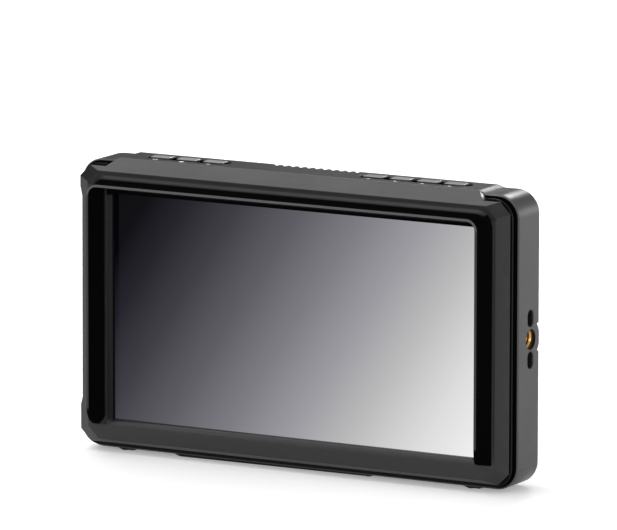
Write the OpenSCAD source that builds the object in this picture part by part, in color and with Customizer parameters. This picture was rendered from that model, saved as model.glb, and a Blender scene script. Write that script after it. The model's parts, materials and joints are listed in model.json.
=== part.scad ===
// Camera field monitor with a moulded hood rim round its screen.
// X runs to the right, Y to the back and Z up. The origin is on the ground, below the middle of the body.
// Inside the modules Y = 0 is the plane of the front face and Z = 0 the middle of that face.

/* [Screen] */
// Visible width of the screen
screen_w = 131.6; // [120:0.1:140]
// Visible height of the screen
screen_h = 74.0; // [68:0.1:80]
// Size of the 45 degree bevel round the screen
screen_bevel = 1.55; // [1:0.05:1.8]
// Thickness of the bezel's lip in front of the glass
lip_t = 1.55; // [1.2:0.05:2]
// Thickness of the glass
glass_t = 0.7; // [0.5:0.1:1]
// Overlap of the glass behind the bezel's lip
glass_lap = 2.7; // [2:0.1:3]

/* [Front face] */
// Flat strip of the front face outside the hood rim at the sides
strip_side = 0.55; // [0.3:0.05:1.5]
// Flat strip of the front face above the hood rim
strip_top = 0.75; // [0.3:0.05:1.5]
// Border between the screen and the lower edge of the front face
border_low = 6.5; // [5.5:0.1:8]
// Cut-off length of the front face's corners
face_corner = 3.8; // [2:0.1:5]
// Depth of the bevelled flank behind the front face
flank_depth = 1.9; // [1.4:0.1:2.2]
// How far the flank spreads to each side
flank_out = 3.9; // [3:0.1:4.4]
// Rise of the top slope for each millimetre of depth
top_slope = 0.71; // [0.6:0.01:0.8]
// Height of the thin edge behind the flank
flank_edge = 0.5; // [0.3:0.1:0.8]

/* [Hood rim] */
// How far the hood rim stands in front of the front face
hood_depth = 6.8; // [5:0.1:9]
// Thickness of the rim along its front edge
hood_edge = 0.9; // [0.7:0.1:1.2]
// Lean of the rim's inner wall at the sides
hood_lean_side = 2.8; // [2:0.1:3.2]
// Lean of the rim's inner wall at the top
hood_lean_top = 1.5; // [1:0.1:2]
// Radius of the hollow between the rim and the front face
hood_cove = 2.3; // [1.5:0.1:2.6]
// Lean of the rim's outer wall
hood_outer_lean = 0.3; // [0.1:0.1:0.5]
// Inner radius of the rim's top corners
hood_corner = 2.9; // [2.6:0.1:3.6]

/* [Display stack] */
// Thickness of the LCD cell
cell_t = 1.2; // [0.8:0.1:1.6]
// Thickness of the diffuser sheet
diffuser_t = 0.4; // [0.2:0.1:0.6]
// Thickness of the light guide
guide_t = 2.0; // [1.5:0.1:2.4]
// Thickness of the backlight tray's sheet metal
tray_t = 0.5; // [0.3:0.1:0.6]
// Height of the LED strip under the light guide
led_strip_h = 1.6; // [1:0.1:2]

/* [Middle frame] */
// Width of the channel between the flank's edge and the middle frame
channel = 0.9; // [0.6:0.1:1.2]
// Thickness of the middle frame
frame_t = 0.9; // [0.7:0.1:1.2]
// How far the middle frame stands out past the flank at the sides
frame_out = 0.2; // [0.1:0.1:0.4]
// How far it stands out past the flank at the top
frame_out_top = 0.55; // [0.3:0.05:0.8]
// How far it stands out past the flank at the bottom
frame_out_low = 1.35; // [0.8:0.05:1.6]
// Inset of the bezel's neck behind the flank
neck_inset = 1.4; // [1:0.1:1.6]

/* [Rear shell] */
// How far the shell stands out past the middle frame at the sides
shell_out = 1.2; // [1:0.1:1.6]
// How far it stands out past the middle frame at the top
shell_out_top = 1.1; // [0.9:0.1:1.4]
// How far it stands out past the middle frame at the bottom
shell_out_low = 0.95; // [0.8:0.05:1.2]
// Radius of the shell's corners
shell_corner = 7.5; // [6:0.1:9]
// Wall of the shell
wall = 2.0; // [1.6:0.1:2.3]
// Bevel of the shell's front edge
front_bevel = 0.5; // [0.3:0.1:0.8]
// Bevel of the shell's rear edge
rear_bevel = 1.0; // [0.6:0.1:1.4]
// Height of the hump over the shoulders
hump_step = 0.9; // [0.5:0.1:1.5]
// Distance of the hump's ends from the sides of the front face
hump_inset = 8.8; // [7:0.1:12]
// Length of the ramp at each end of the hump
hump_ramp = 1.6; // [1:0.1:2.5]
// Length of the slope from the hump to the back
hump_back_l = 1.75; // [1.2:0.05:2.4]
// Depth of the shallow bay in the left side
bay_depth = 0.9; // [0.5:0.1:1]
// Room in the bay below the lowest socket
bay_room_low = 2.0; // [1:0.1:4]
// Room in the bay above the highest socket
bay_room_high = 6.3; // [2:0.1:8]

/* [Underside] */
// Height of the feet below the shell
foot_h = 0.75; // [0.5:0.05:1.5]
// Flat width of one foot
foot_w = 3.4; // [2.5:0.1:6]
// Distance of each foot's middle from the shell's side
foot_inset = 16.2; // [14:0.1:20]
// Left end of the raised block
block_left = -44.0; // [-50:0.5:-40]
// Right end of the raised block
block_right = 25.4; // [20:0.2:40]
// Ramp at the ends of the feet and the block
foot_ramp = 2.4; // [1:0.1:3]

/* [Keys] */
// Keys in the left row
left_keys = 3; // [1:1:3]
// Keys in the right row
right_keys = 4; // [1:1:4]
// Length of a key cap along the row
key_l = 7.3; // [6:0.1:8]
// Width of a key cap
key_w = 4.4; // [3.5:0.1:4.8]
// Distance from key to key
key_pitch = 9.75; // [9.2:0.05:10]
// Distance of each row's outer end from the end of the hump
key_row_inset = 6.5; // [5:0.1:10]
// Length of the slot past the outermost caps
key_slot_end = 1.7; // [1:0.1:2]
// Free width of the key slot beside a cap
key_slot_side = 1.0; // [0.6:0.1:1.2]
// How far the caps stand over the hump
key_proud = 0.3; // [0.1:0.1:1]
// Travel of a key
key_travel = 0.5; // [0.3:0.1:0.6]
// Clearance round a key cap
key_gap = 0.15; // [0.1:0.05:0.3]
// Thickness of the key trays
key_tray_t = 1.0; // [0.8:0.1:1.2]
// Width of the key board
key_board_w = 9; // [8:0.5:10]

/* [Vents] */
// Number of notches at the top rear edge
vent_count = 11; // [5:1:11]
// Distance from notch to notch
vent_pitch = 2.93; // [2.5:0.01:3.3]
// Width of a notch
vent_w = 1.5; // [1:0.1:1.8]
// Length of the notches on top
vent_l = 3.7; // [2:0.1:4]
// Number of slots in the back on each side of the battery plate
back_vents = 7; // [3:1:8]
// Distance from slot to slot
back_vent_pitch = 3.4; // [2.8:0.1:4]
// Width of a slot
back_vent_w = 1.5; // [1:0.1:1.8]
// Length of a slot
back_vent_l = 20; // [12:1:24]
// Distance of the first slot from the battery plate
back_vent_gap = 13; // [8:0.5:14]

/* [Threaded inserts] */
// Diameter of the 1/4 inch thread
thread_d = 6.35; // [6:0.05:6.6]
// Wall of the brass inserts
insert_wall = 0.625; // [0.5:0.005:0.8]
// Length of the brass inserts
insert_l = 6.5; // [5.5:0.1:7.5]
// Clearance of the hole in the casing in front of an insert
mouth_gap = 0.35; // [0.2:0.05:0.5]
// Depth of an insert's front end below the casing's surface
mouth_depth = 1.0; // [0.6:0.1:1.2]
// Distance of the side insert's axis from the shell's back
insert_from_back = 6.75; // [6:0.05:7.5]
// Casing left between an insert and a locating slot
slot_web = 0.25; // [0.2:0.05:1]
// Width of a locating slot
slot_w = 3.5; // [3:0.1:4]
// Length of a locating slot
slot_l = 5.3; // [4.6:0.1:6]
// Depth of a locating slot
slot_depth = 4.0; // [3:0.1:4.5]

/* [Board and sockets] */
// Room between the backlight tray and the mainboard
board_room = 3.3; // [3:0.1:4]
// Thickness of the mainboard
board_t = 1.6; // [1.2:0.1:1.8]
// Gap between the two video sockets
video_gap = 5; // [3:0.5:6]
// Gap between the upper video socket and the headphone jack
phone_gap = 4.8; // [3:0.1:5.4]
// Gap between the lower video socket and the power jack
power_gap = 2.5; // [2:0.1:4]
// Bore of the headphone jack
phone_d = 3.6; // [3.5:0.05:3.8]
// Bore of the power jack
power_d = 6.0; // [5.7:0.1:6.8]

/* [Battery plate] */
// Distance of the battery plate from the shell's top and bottom
plate_inset = 10.2; // [9:0.1:12]
// Thickness of the battery plate
plate_t = 3.0; // [2.4:0.1:3.4]
// Free width between the battery rails
rail_gap = 39; // [38.6:0.1:44]
// Width of a rail
rail_w = 2.2; // [1.8:0.1:3]
// Height of the battery rails over the plate
rail_h = 4.0; // [3.6:0.1:5]
// Reach of the rails' hooks
hook_reach = 1.3; // [1:0.1:1.6]
// Length of a hook
hook_l = 13; // [8:1:15]
// Travel of the release button
release_travel = 2.0; // [1.5:0.1:2.2]
// How far the pressed release button still stands over the plate
release_left = 0.2; // [0.1:0.1:1]

/* [Hidden] */
$fn = 64;
eps = 0.01;

// Front bezel
bezel_w = screen_w + 2 * screen_bevel;
bezel_h = screen_h + 2 * screen_bevel;
hood_foot = hood_edge + hood_outer_lean + hood_cove;
border_side = screen_bevel + hood_lean_side + hood_foot + strip_side;
border_top = screen_bevel + hood_lean_top + hood_foot + strip_top;
face_w = screen_w + 2 * border_side;
face_h = screen_h + border_top + border_low;
screen_up = (border_low - border_top) / 2;
flank_w = face_w + 2 * flank_out;
flank_h = face_h + 2 * top_slope * flank_depth;
flank_corner = face_corner - 0.1;
flank_back = flank_depth + flank_edge;
hood_x = bezel_w / 2 + hood_lean_side;
hood_z = screen_up + bezel_h / 2 + hood_lean_top;
hood_low = screen_up - bezel_h / 2 + hood_depth;
neck_w = flank_w - 2 * neck_inset;
neck_h = flank_h - 2 * neck_inset + 0.8;
neck_corner = 5;

// Middle frame
frame_y = flank_back + channel;
frame_w = flank_w + 2 * frame_out;
frame_top = flank_h / 2 + frame_out_top;
frame_bottom = flank_h / 2 + frame_out_low;
frame_corner = shell_corner - 1;

// Display stack, each layer lying on the one before
fit_gap = 0.2;
glass_y = screen_bevel + lip_t;
glass_w = screen_w + 2 * glass_lap;
glass_h = screen_h + 2 * glass_lap;
cell_y = glass_y + glass_t;
diffuser_y = cell_y + cell_t;
guide_y = diffuser_y + diffuser_t;
tray_back = guide_y + guide_t + tray_t;
stack_w = glass_w - 2 * fit_gap;
stack_h = glass_h - 2 * fit_gap;
tray_w = glass_w + 2 * tray_t;
tray_h = glass_h + 2 * tray_t;
tray_y = frame_y + frame_t;
tray_flange = 1.5;

// Board and sockets
board_y = tray_back + board_room;
board_back = board_y + board_t;
socket_h = 5.6;
socket_w = 15;
socket_l = 11.5;
socket_mouth_w = 14;
socket_mouth_h = 4.55;
socket_room = 0.25;
phone_body = [12, 5.2, 6.4];
power_body = [13, 8.2, 9];
power_pin_d = 2.0;
power_pin_tip = 1;
socket_mid_y = board_back + socket_h / 2;
phone_y = board_back + phone_body[1] / 2;
video_z = (video_gap + socket_w) / 2;
phone_z = video_z + socket_w / 2 + phone_gap + phone_body[2] / 2;
power_z = -video_z - socket_w / 2 - power_gap - power_body[2] / 2;

// Rear shell
shell_w = frame_w + 2 * shell_out;
shell_top = frame_top + shell_out_top;
shell_bottom = frame_bottom + shell_out_low;
shell_back = board_back + socket_h + socket_room + wall;
hump_top = shell_top + hump_step;
hump_w = face_w - 2 * hump_inset;
hump_foot = hump_w / 2 + 2 * hump_ramp;
hump_root = shell_top - wall - 4.9;
shell_front = (hump_top - face_h / 2) / top_slope;
shell_h = shell_top + shell_bottom;
shell_mid = (shell_top - shell_bottom) / 2;
hump_back = shell_back - hump_back_l;
inner_x = shell_w / 2 - wall;
inner_top = shell_top - wall;
inner_bottom = shell_bottom - wall;
inner_back = shell_back - wall;
tongue_inset = 1.1;
tongue_t = 1.5;
lip_back = shell_front + 1.5;
notch_w = 2 * hump_foot + 1.2;
notch_z = face_h / 2 + 0.5;
ground = shell_bottom + foot_h;
foot_x = shell_w / 2 - foot_inset;
bay_x = shell_w / 2 - bay_depth;
bay_low = power_z - power_body[2] / 2 - bay_room_low;
bay_high = phone_z + phone_body[2] / 2 + bay_room_high;
power_y = inner_back - power_body[1] / 2 - 1.15;
plate_face = shell_back + plate_t;
rail_face = plate_face + rail_h;
middle_y = (rail_face - hood_depth) / 2;

// Screws
post_d = 6;
case_x = tray_w / 2 + post_d / 2 + 0.4;
case_z = screen_h / 2 + 0.5;
screw_d = 2.0;
screw_hole_d = 2.3;
pilot_d = 2.06;
head_d = 3.8;
head_t = 1.4;
head_hole_d = 4.4;
hex_d = 1.6;
hex_depth = 0.7;
case_head_y = tray_back + 2.1;
case_tip_y = 0.9;
pilot_end = 0.1;

// Keys
cap_top = hump_top + key_proud;
cap_corner = 0.6;
flange_t = 0.8;
flange_rim = 0.5;
flange_top = inner_top - key_tray_t - 0.1;
flange_bottom = flange_top - flange_t;
plunger_top = flange_bottom - key_travel - 0.1;
plunger_d = 2.2;
plunger_h = 0.5;
switch_w = 4.5;
switch_h = 1.7;
key_board_top = plunger_top - plunger_h - switch_h;
key_board_t = 1.0;
key_board_l = hump_w + 1.2;
key_y = tray_back + fit_gap + key_board_w / 2;
key_slot_w = key_w + 2 * key_slot_side;
key_boss_x = [2.5 - key_board_l / 2, -5, key_board_l / 2 - 2.5];
key_boss_d = 4.5;
key_screw_l = 4;
key_row_end = hump_w / 2 - key_row_inset;
left_row_l = (left_keys - 1) * key_pitch + key_l + 2 * key_slot_end;
right_row_l = (right_keys - 1) * key_pitch + key_l + 2 * key_slot_end;
left_row_x = left_row_l / 2 - key_row_end;
right_row_x = key_row_end - right_row_l / 2;
left_first_x = left_row_x - (left_keys - 1) * key_pitch / 2;
right_first_x = right_row_x - (right_keys - 1) * key_pitch / 2;

// Side and bottom inserts
insert_d = thread_d + 2 * insert_wall;
insert_floor = 0.5;
insert_reach = mouth_depth + insert_l;
mouth_d = thread_d + mouth_gap;
insert_y = shell_back - insert_from_back;
slot_spacing = insert_d + slot_l + 2 * slot_web;
side_block_x = shell_w / 2 - insert_reach - insert_floor;
bottom_y = insert_y - 0.5;
bottom_block_z = ground - insert_reach - insert_floor;
insert_block = (slot_spacing + slot_l) / 2 + 1.65;
insert_block_y = tray_back + 0.5;
boss_keep_r = 6.1;
edge_notch = [1.2, 2.3, 4.6];

// Mainboard
board_z = case_z - post_d / 2 - 2.5;
board_left = 2.2 - inner_x;
board_right = side_block_x - 5.5;
board_post_x = board_right - 8;
board_post_z = board_z - 5;
board_post_d = 5;
board_screw_l = 4;
ribbon_t = 0.3;
chip_w = 15;
chip_t = 1.4;
chip_x = -14;
sink_w = 34;
sink_base = 1.2;
fin_t = 1;
fin_count = 8;
front_chip = [9, 1.1, 9];
back_chip = [5, 1.2, 6.5];
capacitor_d = 5;
capacitor_h = board_room - 0.7;
display_ribbon_x = 30;
display_ribbon_w = 24;
key_ribbon_x = board_post_x - 12;
key_ribbon_w = 10;

// Battery plate and its release button
plate_w = rail_gap + 2 * rail_w + 2.6;
plate_h = shell_h - 2 * plate_inset;
rail_l = plate_h - 14;
hook_t = 1.4;
hook_z = [17 - plate_h / 2, plate_h / 2 - 25];
plate_screw_x = rail_gap / 2 - 0.9;
plate_screw_z = plate_h / 2 - 3.6;
plate_boss_d = 5;
plate_boss_y = key_y + key_board_w / 2 + 0.3;
plate_head_t = 1.2;
release_size = [12, 7];
release_z = plate_h / 2 - 7.5;
release_rim = 1.2;
release_flange_t = 1.0;
release_gap = 0.1;
release_proud = release_travel + release_left;
cup_wall = 1.2;
cup_x = release_size[0] / 2 + release_rim + fit_gap;
cup_z = release_size[1] / 2 + release_rim + fit_gap;
spring_r = 2.5;
spring_wire = 0.18;
spring_turns = 4;
spring_solid = 2 * spring_wire * (spring_turns + 1);
button_low = shell_back - release_flange_t - release_gap;
cup_floor = button_low - release_travel - spring_solid + 0.05;
contact_size = [24, 6];
contact_z = 4 - plate_h / 2;
blade_x = [-8, 0, 8];
blade_t = 0.6;
blade_l = 7;

// Longer than anything here, for cuts that run right through
through = 2 * shell_w;

// Puts a piece that is drawn round the front face's middle on the ground
module in_place() {
  translate([0, -middle_y, ground]) children();
}

// Extrudes an outline drawn in X and Z from depth y0 to depth y1
module slab(y0, y1) {
  translate([0, y1, 0]) rotate([90, 0, 0]) linear_extrude(y1 - y0) children();
}

// Extrudes an outline drawn in Y and Z along X from x0 to x1
module along_x(x0, x1) {
  translate([x0, 0, 0]) rotate([90, 0, 90]) linear_extrude(x1 - x0) children();
}

// Cylinder along Y from y0 to y1
module rod_y(d, y0, y1) {
  translate([0, y0, 0]) rotate([-90, 0, 0]) cylinder(d = d, h = y1 - y0);
}

// Cylinder along X from x0 to x1
module rod_x(d, x0, x1) {
  translate([x0, 0, 0]) rotate([0, 90, 0]) cylinder(d = d, h = x1 - x0);
}

// Box between two corners
module box(low, high) {
  translate(low) cube(high - low);
}

module rounded(w, h, r) {
  square([w - 2 * r, h], center = true);
  square([w, h - 2 * r], center = true);
  for (x = [-1, 1], y = [-1, 1])
    translate([x * (w / 2 - r), y * (h / 2 - r)]) circle(r);
}

// Rectangle with rounded corners between two heights
module rounded_between(w, z0, z1, r) {
  translate([0, (z0 + z1) / 2]) rounded(w, z1 - z0, r);
}

// Slot with round ends along X
module obround(l, w) {
  square([l - w, w], center = true);
  for (x = [-1, 1])
    translate([x * (l - w) / 2, 0]) circle(d = w);
}

// Wedge-sided block: w0 wide at depth y0 and w1 wide at y1, tall enough for anything here
module taper(w0, w1, y0, y1) {
  linear_extrude(through, center = true)
    polygon([[-w0 / 2, y0], [w0 / 2, y0], [w1 / 2, y1], [-w1 / 2, y1]]);
}

// Frame-shaped block with mitred sides between a front and a back rectangle
module mitred(front, back, y0, y1) {
  intersection() {
    taper(front[0], back[0], y0, y1);
    rotate([0, 90, 0]) taper(front[1], back[1], y0, y1);
  }
}

// Half section of a block from depth y0 to y1 that reaches to r and has a bevel at each end
module bevel_section(r, y0, y1, c0, c1) {
  polygon([[0, y0], [r - c0, y0], [r, y0 + c0], [r, y1 - c1], [r - c1, y1], [0, y1]]);
}

// Block with round corners, from depth y0 to y1, with the bevel c0 in front and c1 behind
module bevel_block(w, h, r, y0, y1, c0, c1) {
  for (x = [-1, 1], z = [-1, 1])
    translate([x * (w / 2 - r), 0, z * (h / 2 - r)])
      rotate([-90, 0, 0]) rotate_extrude() bevel_section(r, y0, y1, c0, c1);
  linear_extrude(h - 2 * r, center = true) {
    bevel_section(w / 2, y0, y1, c0, c1);
    mirror([1, 0]) bevel_section(w / 2, y0, y1, c0, c1);
  }
  rotate([0, 90, 0]) linear_extrude(w - 2 * r, center = true) {
    bevel_section(h / 2, y0, y1, c0, c1);
    mirror([1, 0]) bevel_section(h / 2, y0, y1, c0, c1);
  }
}

// Outline of the shallow bay that the left side has, drawn at a face x from the middle
module bay(x) {
  polygon([
    [-x - 3, bay_low - bay_depth * 6], [-x, bay_low - bay_depth * 3], [-x + bay_depth, bay_low],
    [-x + bay_depth, bay_high], [-x, bay_high + bay_depth * 3], [-x - 3, bay_high + bay_depth * 6]
  ]);
}

module case_screw_places() {
  for (x = [-1, 1], z = [-1, 1]) translate([x * case_x, 0, z * case_z]) children();
}

module board_screw_places() {
  for (x = [-1, 1], z = [-1, 1]) translate([x * board_post_x, 0, z * board_post_z]) children();
}

module plate_screw_places() {
  for (x = [-1, 1], z = [-1, 1]) translate([x * plate_screw_x, 0, z * plate_screw_z]) children();
}

// Bevelled flank between the face and its back edge, with flat corner facets
module flank() {
  diagonal_front = (face_w + face_h - 2 * face_corner) / sqrt(2);
  diagonal_back = (flank_w + flank_h - 2 * flank_corner) / sqrt(2);
  intersection() {
    mitred([face_w, face_h], [flank_w, flank_h], 0, flank_depth);
    rotate([0, 45, 0]) taper(diagonal_front, diagonal_back, 0, flank_depth);
    rotate([0, -45, 0]) taper(diagonal_front, diagonal_back, 0, flank_depth);
  }
}

module flank_outline() {
  w = flank_w / 2;
  h = flank_h / 2;
  c = flank_corner;
  polygon([[-w + c, -h], [w - c, -h], [w, -h + c], [w, h - c], [w - c, h], [-w + c, h], [-w, h - c], [-w, -h + c]]);
}

// Sloped front of the hump, down to the notch that the frame and the shell leave for it
module hump_front() {
  intersection() {
    along_x(-hump_foot, hump_foot)
      polygon([[0, face_h / 2], [shell_front, hump_top], [shell_front, notch_z], [frame_y, notch_z],
               [frame_y, neck_h / 2 - 1], [0, neck_h / 2 - 1]]);
    slab(0, shell_front)
      polygon([[-hump_foot, 0], [hump_foot, 0], [hump_foot, flank_h / 2], [hump_w / 2, hump_top],
               [-hump_w / 2, hump_top], [-hump_foot, flank_h / 2]]);
  }
}

// Section of the rim: x outwards from the inner front edge, y forwards from the face
module hood_section() {
  difference() {
    polygon([[-hood_corner, 0], [hood_foot, 0], [hood_foot, hood_cove], [hood_edge + hood_outer_lean, hood_cove],
             [hood_edge, hood_depth], [-hood_corner, hood_depth]]);
    translate([hood_foot, hood_cove]) circle(hood_cove);
  }
}

// Right half of the rim before its inner wall is cut
module hood_half() {
  corner_x = hood_x - hood_corner;
  corner_z = hood_z - hood_corner;
  translate([hood_x, 0, hood_low]) linear_extrude(corner_z - hood_low) mirror([0, 1]) hood_section();
  translate([corner_x, 0, corner_z]) rotate([90, 0, 0])
    rotate_extrude(angle = 90) translate([hood_corner, 0]) hood_section();
  translate([0, 0, hood_z]) along_x(0, corner_x) rotate(90) hood_section();
  intersection() {
    translate([hood_x, 0, hood_low - hood_depth]) linear_extrude(hood_depth) mirror([0, 1]) hood_section();
    translate([0, 0, hood_low]) rod_x(2 * hood_depth, hood_x - 10, hood_x + 10);
  }
}

// Space inside the rim, wider in front than at the screen
module hood_inside() {
  low = -hood_low + hood_depth + 2;
  hull() {
    slab(-hood_depth - 0.5, -hood_depth) {
      translate([-hood_x, -low]) square([2 * hood_x, low + hood_z - hood_corner]);
      for (x = [-1, 1]) translate([x * (hood_x - hood_corner), hood_z - hood_corner]) circle(hood_corner, $fn = 48);
    }
    slab(-eps, 0) translate([-bezel_w / 2, -low]) square([bezel_w, low + screen_up + bezel_h / 2]);
  }
}

module front_bezel() {
  color("#2b2b2c") in_place() difference() {
    union() {
      flank();
      slab(flank_depth - eps, flank_back) flank_outline();
      slab(flank_depth - eps, frame_y) rounded(neck_w, neck_h, neck_corner);
      hump_front();
      difference() {
        union() {
          hood_half();
          mirror([1, 0, 0]) hood_half();
        }
        hood_inside();
      }
    }
    translate([0, 0, screen_up]) {
      mitred([bezel_w + 0.02, bezel_h + 0.02], [screen_w, screen_h], -eps, screen_bevel);
      slab(screen_bevel - eps, shell_front) square([screen_w, screen_h], center = true);
      slab(glass_y, shell_front) rounded(glass_w + 2 * fit_gap, glass_h + 2 * fit_gap, 1);
    }
    case_screw_places() rod_y(pilot_d, case_tip_y - pilot_end, frame_y + 1);
    slab(-eps, flank_back) bay(flank_w / 2);
  }
}

module mid_frame() {
  color("#1a1a1b") in_place() difference() {
    slab(frame_y, frame_y + frame_t) rounded_between(frame_w, -frame_bottom, frame_top, frame_corner);
    slab(frame_y - 1, tray_y + 1) {
      translate([0, screen_up]) rounded(glass_w + 2 * fit_gap, glass_h + 2 * fit_gap, 1);
      translate([-notch_w / 2, notch_z - fit_gap]) square([notch_w, 10]);
      bay(frame_w / 2);
    }
    case_screw_places() rod_y(screw_hole_d, frame_y - 1, tray_y + 1);
  }
}

module hump_outline() {
  polygon([[-hump_w / 2 - hump_ramp, hump_root], [hump_w / 2 + hump_ramp, hump_root],
           [hump_w / 2 + hump_ramp, shell_top], [hump_w / 2, hump_top],
           [-hump_w / 2, hump_top], [-hump_w / 2 - hump_ramp, shell_top]]);
}

// Outside of the shell without its tongue
module shell_outside() {
  translate([0, 0, shell_mid])
    bevel_block(shell_w, shell_h, shell_corner, shell_front, shell_back, front_bevel, rear_bevel);
  intersection() {
    slab(shell_front, shell_back) hump_outline();
    along_x(-shell_w / 2, shell_w / 2)
      polygon([[shell_front, hump_root], [shell_front, hump_top], [hump_back, hump_top],
               [shell_back, shell_top - rear_bevel], [shell_back, hump_root]]);
  }
  foot_low = -shell_bottom - foot_h;
  slab(shell_front + front_bevel + 0.2, shell_back - rear_bevel - 0.2) {
    for (x = [-foot_x, foot_x]) {
      half = foot_w / 2;
      polygon([[x - half - foot_ramp, -shell_bottom + eps], [x - half, foot_low], [x + half, foot_low],
               [x + half + foot_ramp, -shell_bottom + eps]]);
    }
    polygon([[block_left - foot_ramp, -shell_bottom + eps], [block_left, foot_low], [block_right, foot_low],
             [block_right + foot_ramp, -shell_bottom + eps]]);
  }
}

// Posts, bosses and blocks inside the shell
module shell_inside() {
  case_screw_places() rod_y(post_d, tray_y, inner_back + eps);
  board_screw_places() rod_y(board_post_d, board_back, inner_back + eps);
  plate_screw_places() rod_y(plate_boss_d, plate_boss_y, inner_back + eps);
  for (x = key_boss_x)
    translate([x, key_y, key_board_top]) cylinder(d = key_boss_d, h = inner_top - key_board_top + eps);
  box([side_block_x, insert_block_y, -insert_block], [inner_x + eps, inner_back + eps, insert_block]);
  box([-insert_block, insert_block_y, -inner_bottom - eps], [insert_block, inner_back + eps, -bottom_block_z]);
  box([-cup_x - cup_wall, cup_floor - cup_wall, release_z - cup_z - cup_wall],
      [cup_x + cup_wall, inner_back + eps, release_z + cup_z + cup_wall]);
}

// Everything that is cut out of the shell from the left side
module socket_windows() {
  x0 = -shell_w / 2 - 1;
  x1 = -shell_w / 2 + wall + 1;
  for (z = [-video_z, video_z])
    box([x0, board_back - fit_gap, z - socket_w / 2 - fit_gap],
        [x1, board_back + socket_h + fit_gap, z + socket_w / 2 + fit_gap]);
  box([x0, board_back - fit_gap, phone_z - phone_body[2] / 2 - fit_gap],
      [x1, board_back + phone_body[1] + fit_gap, phone_z + phone_body[2] / 2 + fit_gap]);
  box([x0, power_y - power_body[1] / 2 - fit_gap, power_z - power_body[2] / 2 - fit_gap],
      [x1, power_y + power_body[1] / 2 + fit_gap, power_z + power_body[2] / 2 + fit_gap]);
}

// Two locating slots beside an insert, drawn round the insert's middle on the outer face
module locating_slots() {
  for (side = [-1, 1]) translate([side * slot_spacing / 2, 0]) obround(slot_l, slot_w);
}

module shell_cuts() {
  case_screw_places() {
    rod_y(screw_hole_d, tray_y - 1, shell_back);
    rod_y(head_hole_d, case_head_y, shell_back + 1);
  }
  board_screw_places() rod_y(pilot_d, board_back - 1, board_back + board_screw_l + 0.2);
  plate_screw_places() rod_y(pilot_d, plate_boss_y + 0.3, shell_back + 1);
  for (x = key_boss_x)
    translate([x, key_y, key_board_top - 1]) cylinder(d = pilot_d, h = key_screw_l + 0.7);
  translate([0, insert_y, 0]) {
    rod_x(insert_d, shell_w / 2 - insert_reach, shell_w / 2 - mouth_depth);
    rod_x(mouth_d, shell_w / 2 - insert_reach, shell_w / 2 + 1);
    translate([shell_w / 2 - slot_depth, 0, 0]) rotate([0, 90, 0])
      linear_extrude(slot_depth + 1) locating_slots();
  }
  translate([0, bottom_y, -ground - eps]) {
    cylinder(d = mouth_d, h = insert_reach + eps);
    translate([0, 0, mouth_depth + eps]) cylinder(d = insert_d, h = insert_l);
    linear_extrude(slot_depth) locating_slots();
  }
  box([-cup_x, cup_floor, release_z - cup_z], [cup_x, shell_back + 1, release_z + cup_z]);
  translate([0, 0, inner_top - 1]) {
    translate([left_row_x, key_y, 0]) linear_extrude(10) obround(left_row_l, key_slot_w);
    translate([right_row_x, key_y, 0]) linear_extrude(10) obround(right_row_l, key_slot_w);
  }
  for (i = [0 : vent_count - 1]) {
    x = (i - (vent_count - 1) / 2) * vent_pitch;
    box([x - vent_w / 2, shell_back - vent_l, inner_top - 1], [x + vent_w / 2, shell_back + 1, hump_top + 1]);
  }
  for (side = [-1, 1], i = [0 : back_vents - 1]) {
    x = side * (plate_w / 2 + back_vent_gap + i * back_vent_pitch);
    translate([x, 0, 0]) slab(inner_back - 1, shell_back + 1) rotate(90) obround(back_vent_l, back_vent_w);
  }
  difference() {
    box([shell_w / 2 - edge_notch[0], shell_back - edge_notch[1], -edge_notch[2]],
        [shell_w / 2 + 1, shell_back + 1, edge_notch[2]]);
    translate([0, insert_y, 0]) rod_x(2 * boss_keep_r, side_block_x, shell_w);
  }
  slab(tray_y - 1, shell_back + 1) bay(shell_w / 2);
  socket_windows();
}

// Outline inside the middle frame's edge, drawn in by an inset
module inside_frame(inset) {
  rounded_between(frame_w - 2 * inset, inset - frame_bottom, frame_top - inset, frame_corner - inset);
}

// Tongue that reaches from the shell's front edge to the middle frame, cut away under the hump
module tongue() {
  difference() {
    slab(tray_y, shell_front + eps) inside_frame(tongue_inset);
    slab(tray_y - 1, shell_front) translate([-notch_w / 2, notch_z - fit_gap]) square([notch_w, 10]);
  }
}

module shell_cavity() {
  slab(tray_y - 1, lip_back + eps) inside_frame(tongue_inset + tongue_t);
  slab(lip_back, inner_back) rounded_between(2 * inner_x, -inner_bottom, inner_top, shell_corner - wall);
}

module rear_shell() {
  color("#303031") in_place() difference() {
    union() {
      difference() {
        union() {
          shell_outside();
          tongue();
        }
        shell_cavity();
      }
      shell_inside();
    }
    shell_cuts();
  }
}

module screen_glass() {
  color("#101014") in_place() translate([0, 0, screen_up])
    slab(glass_y, cell_y) rounded(glass_w, glass_h, 1);
}

module lcd_cell() {
  color("#3a3a44") in_place() translate([0, 0, screen_up])
    slab(cell_y, diffuser_y) square([stack_w, stack_h], center = true);
}

module diffuser_sheet() {
  color("#e8e8e4") in_place() translate([0, 0, screen_up])
    slab(diffuser_y, guide_y) square([stack_w, stack_h], center = true);
}

module light_guide() {
  color("#d8e8ee") in_place() translate([0, 0, screen_up + led_strip_h / 2])
    slab(guide_y, guide_y + guide_t) square([stack_w, stack_h - led_strip_h], center = true);
}

module led_strip() {
  color("#f2efdc") in_place() translate([0, 0, screen_up - stack_h / 2 + led_strip_h / 2])
    slab(guide_y, guide_y + guide_t) square([stack_w - 2, led_strip_h - 0.05], center = true);
}

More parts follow.
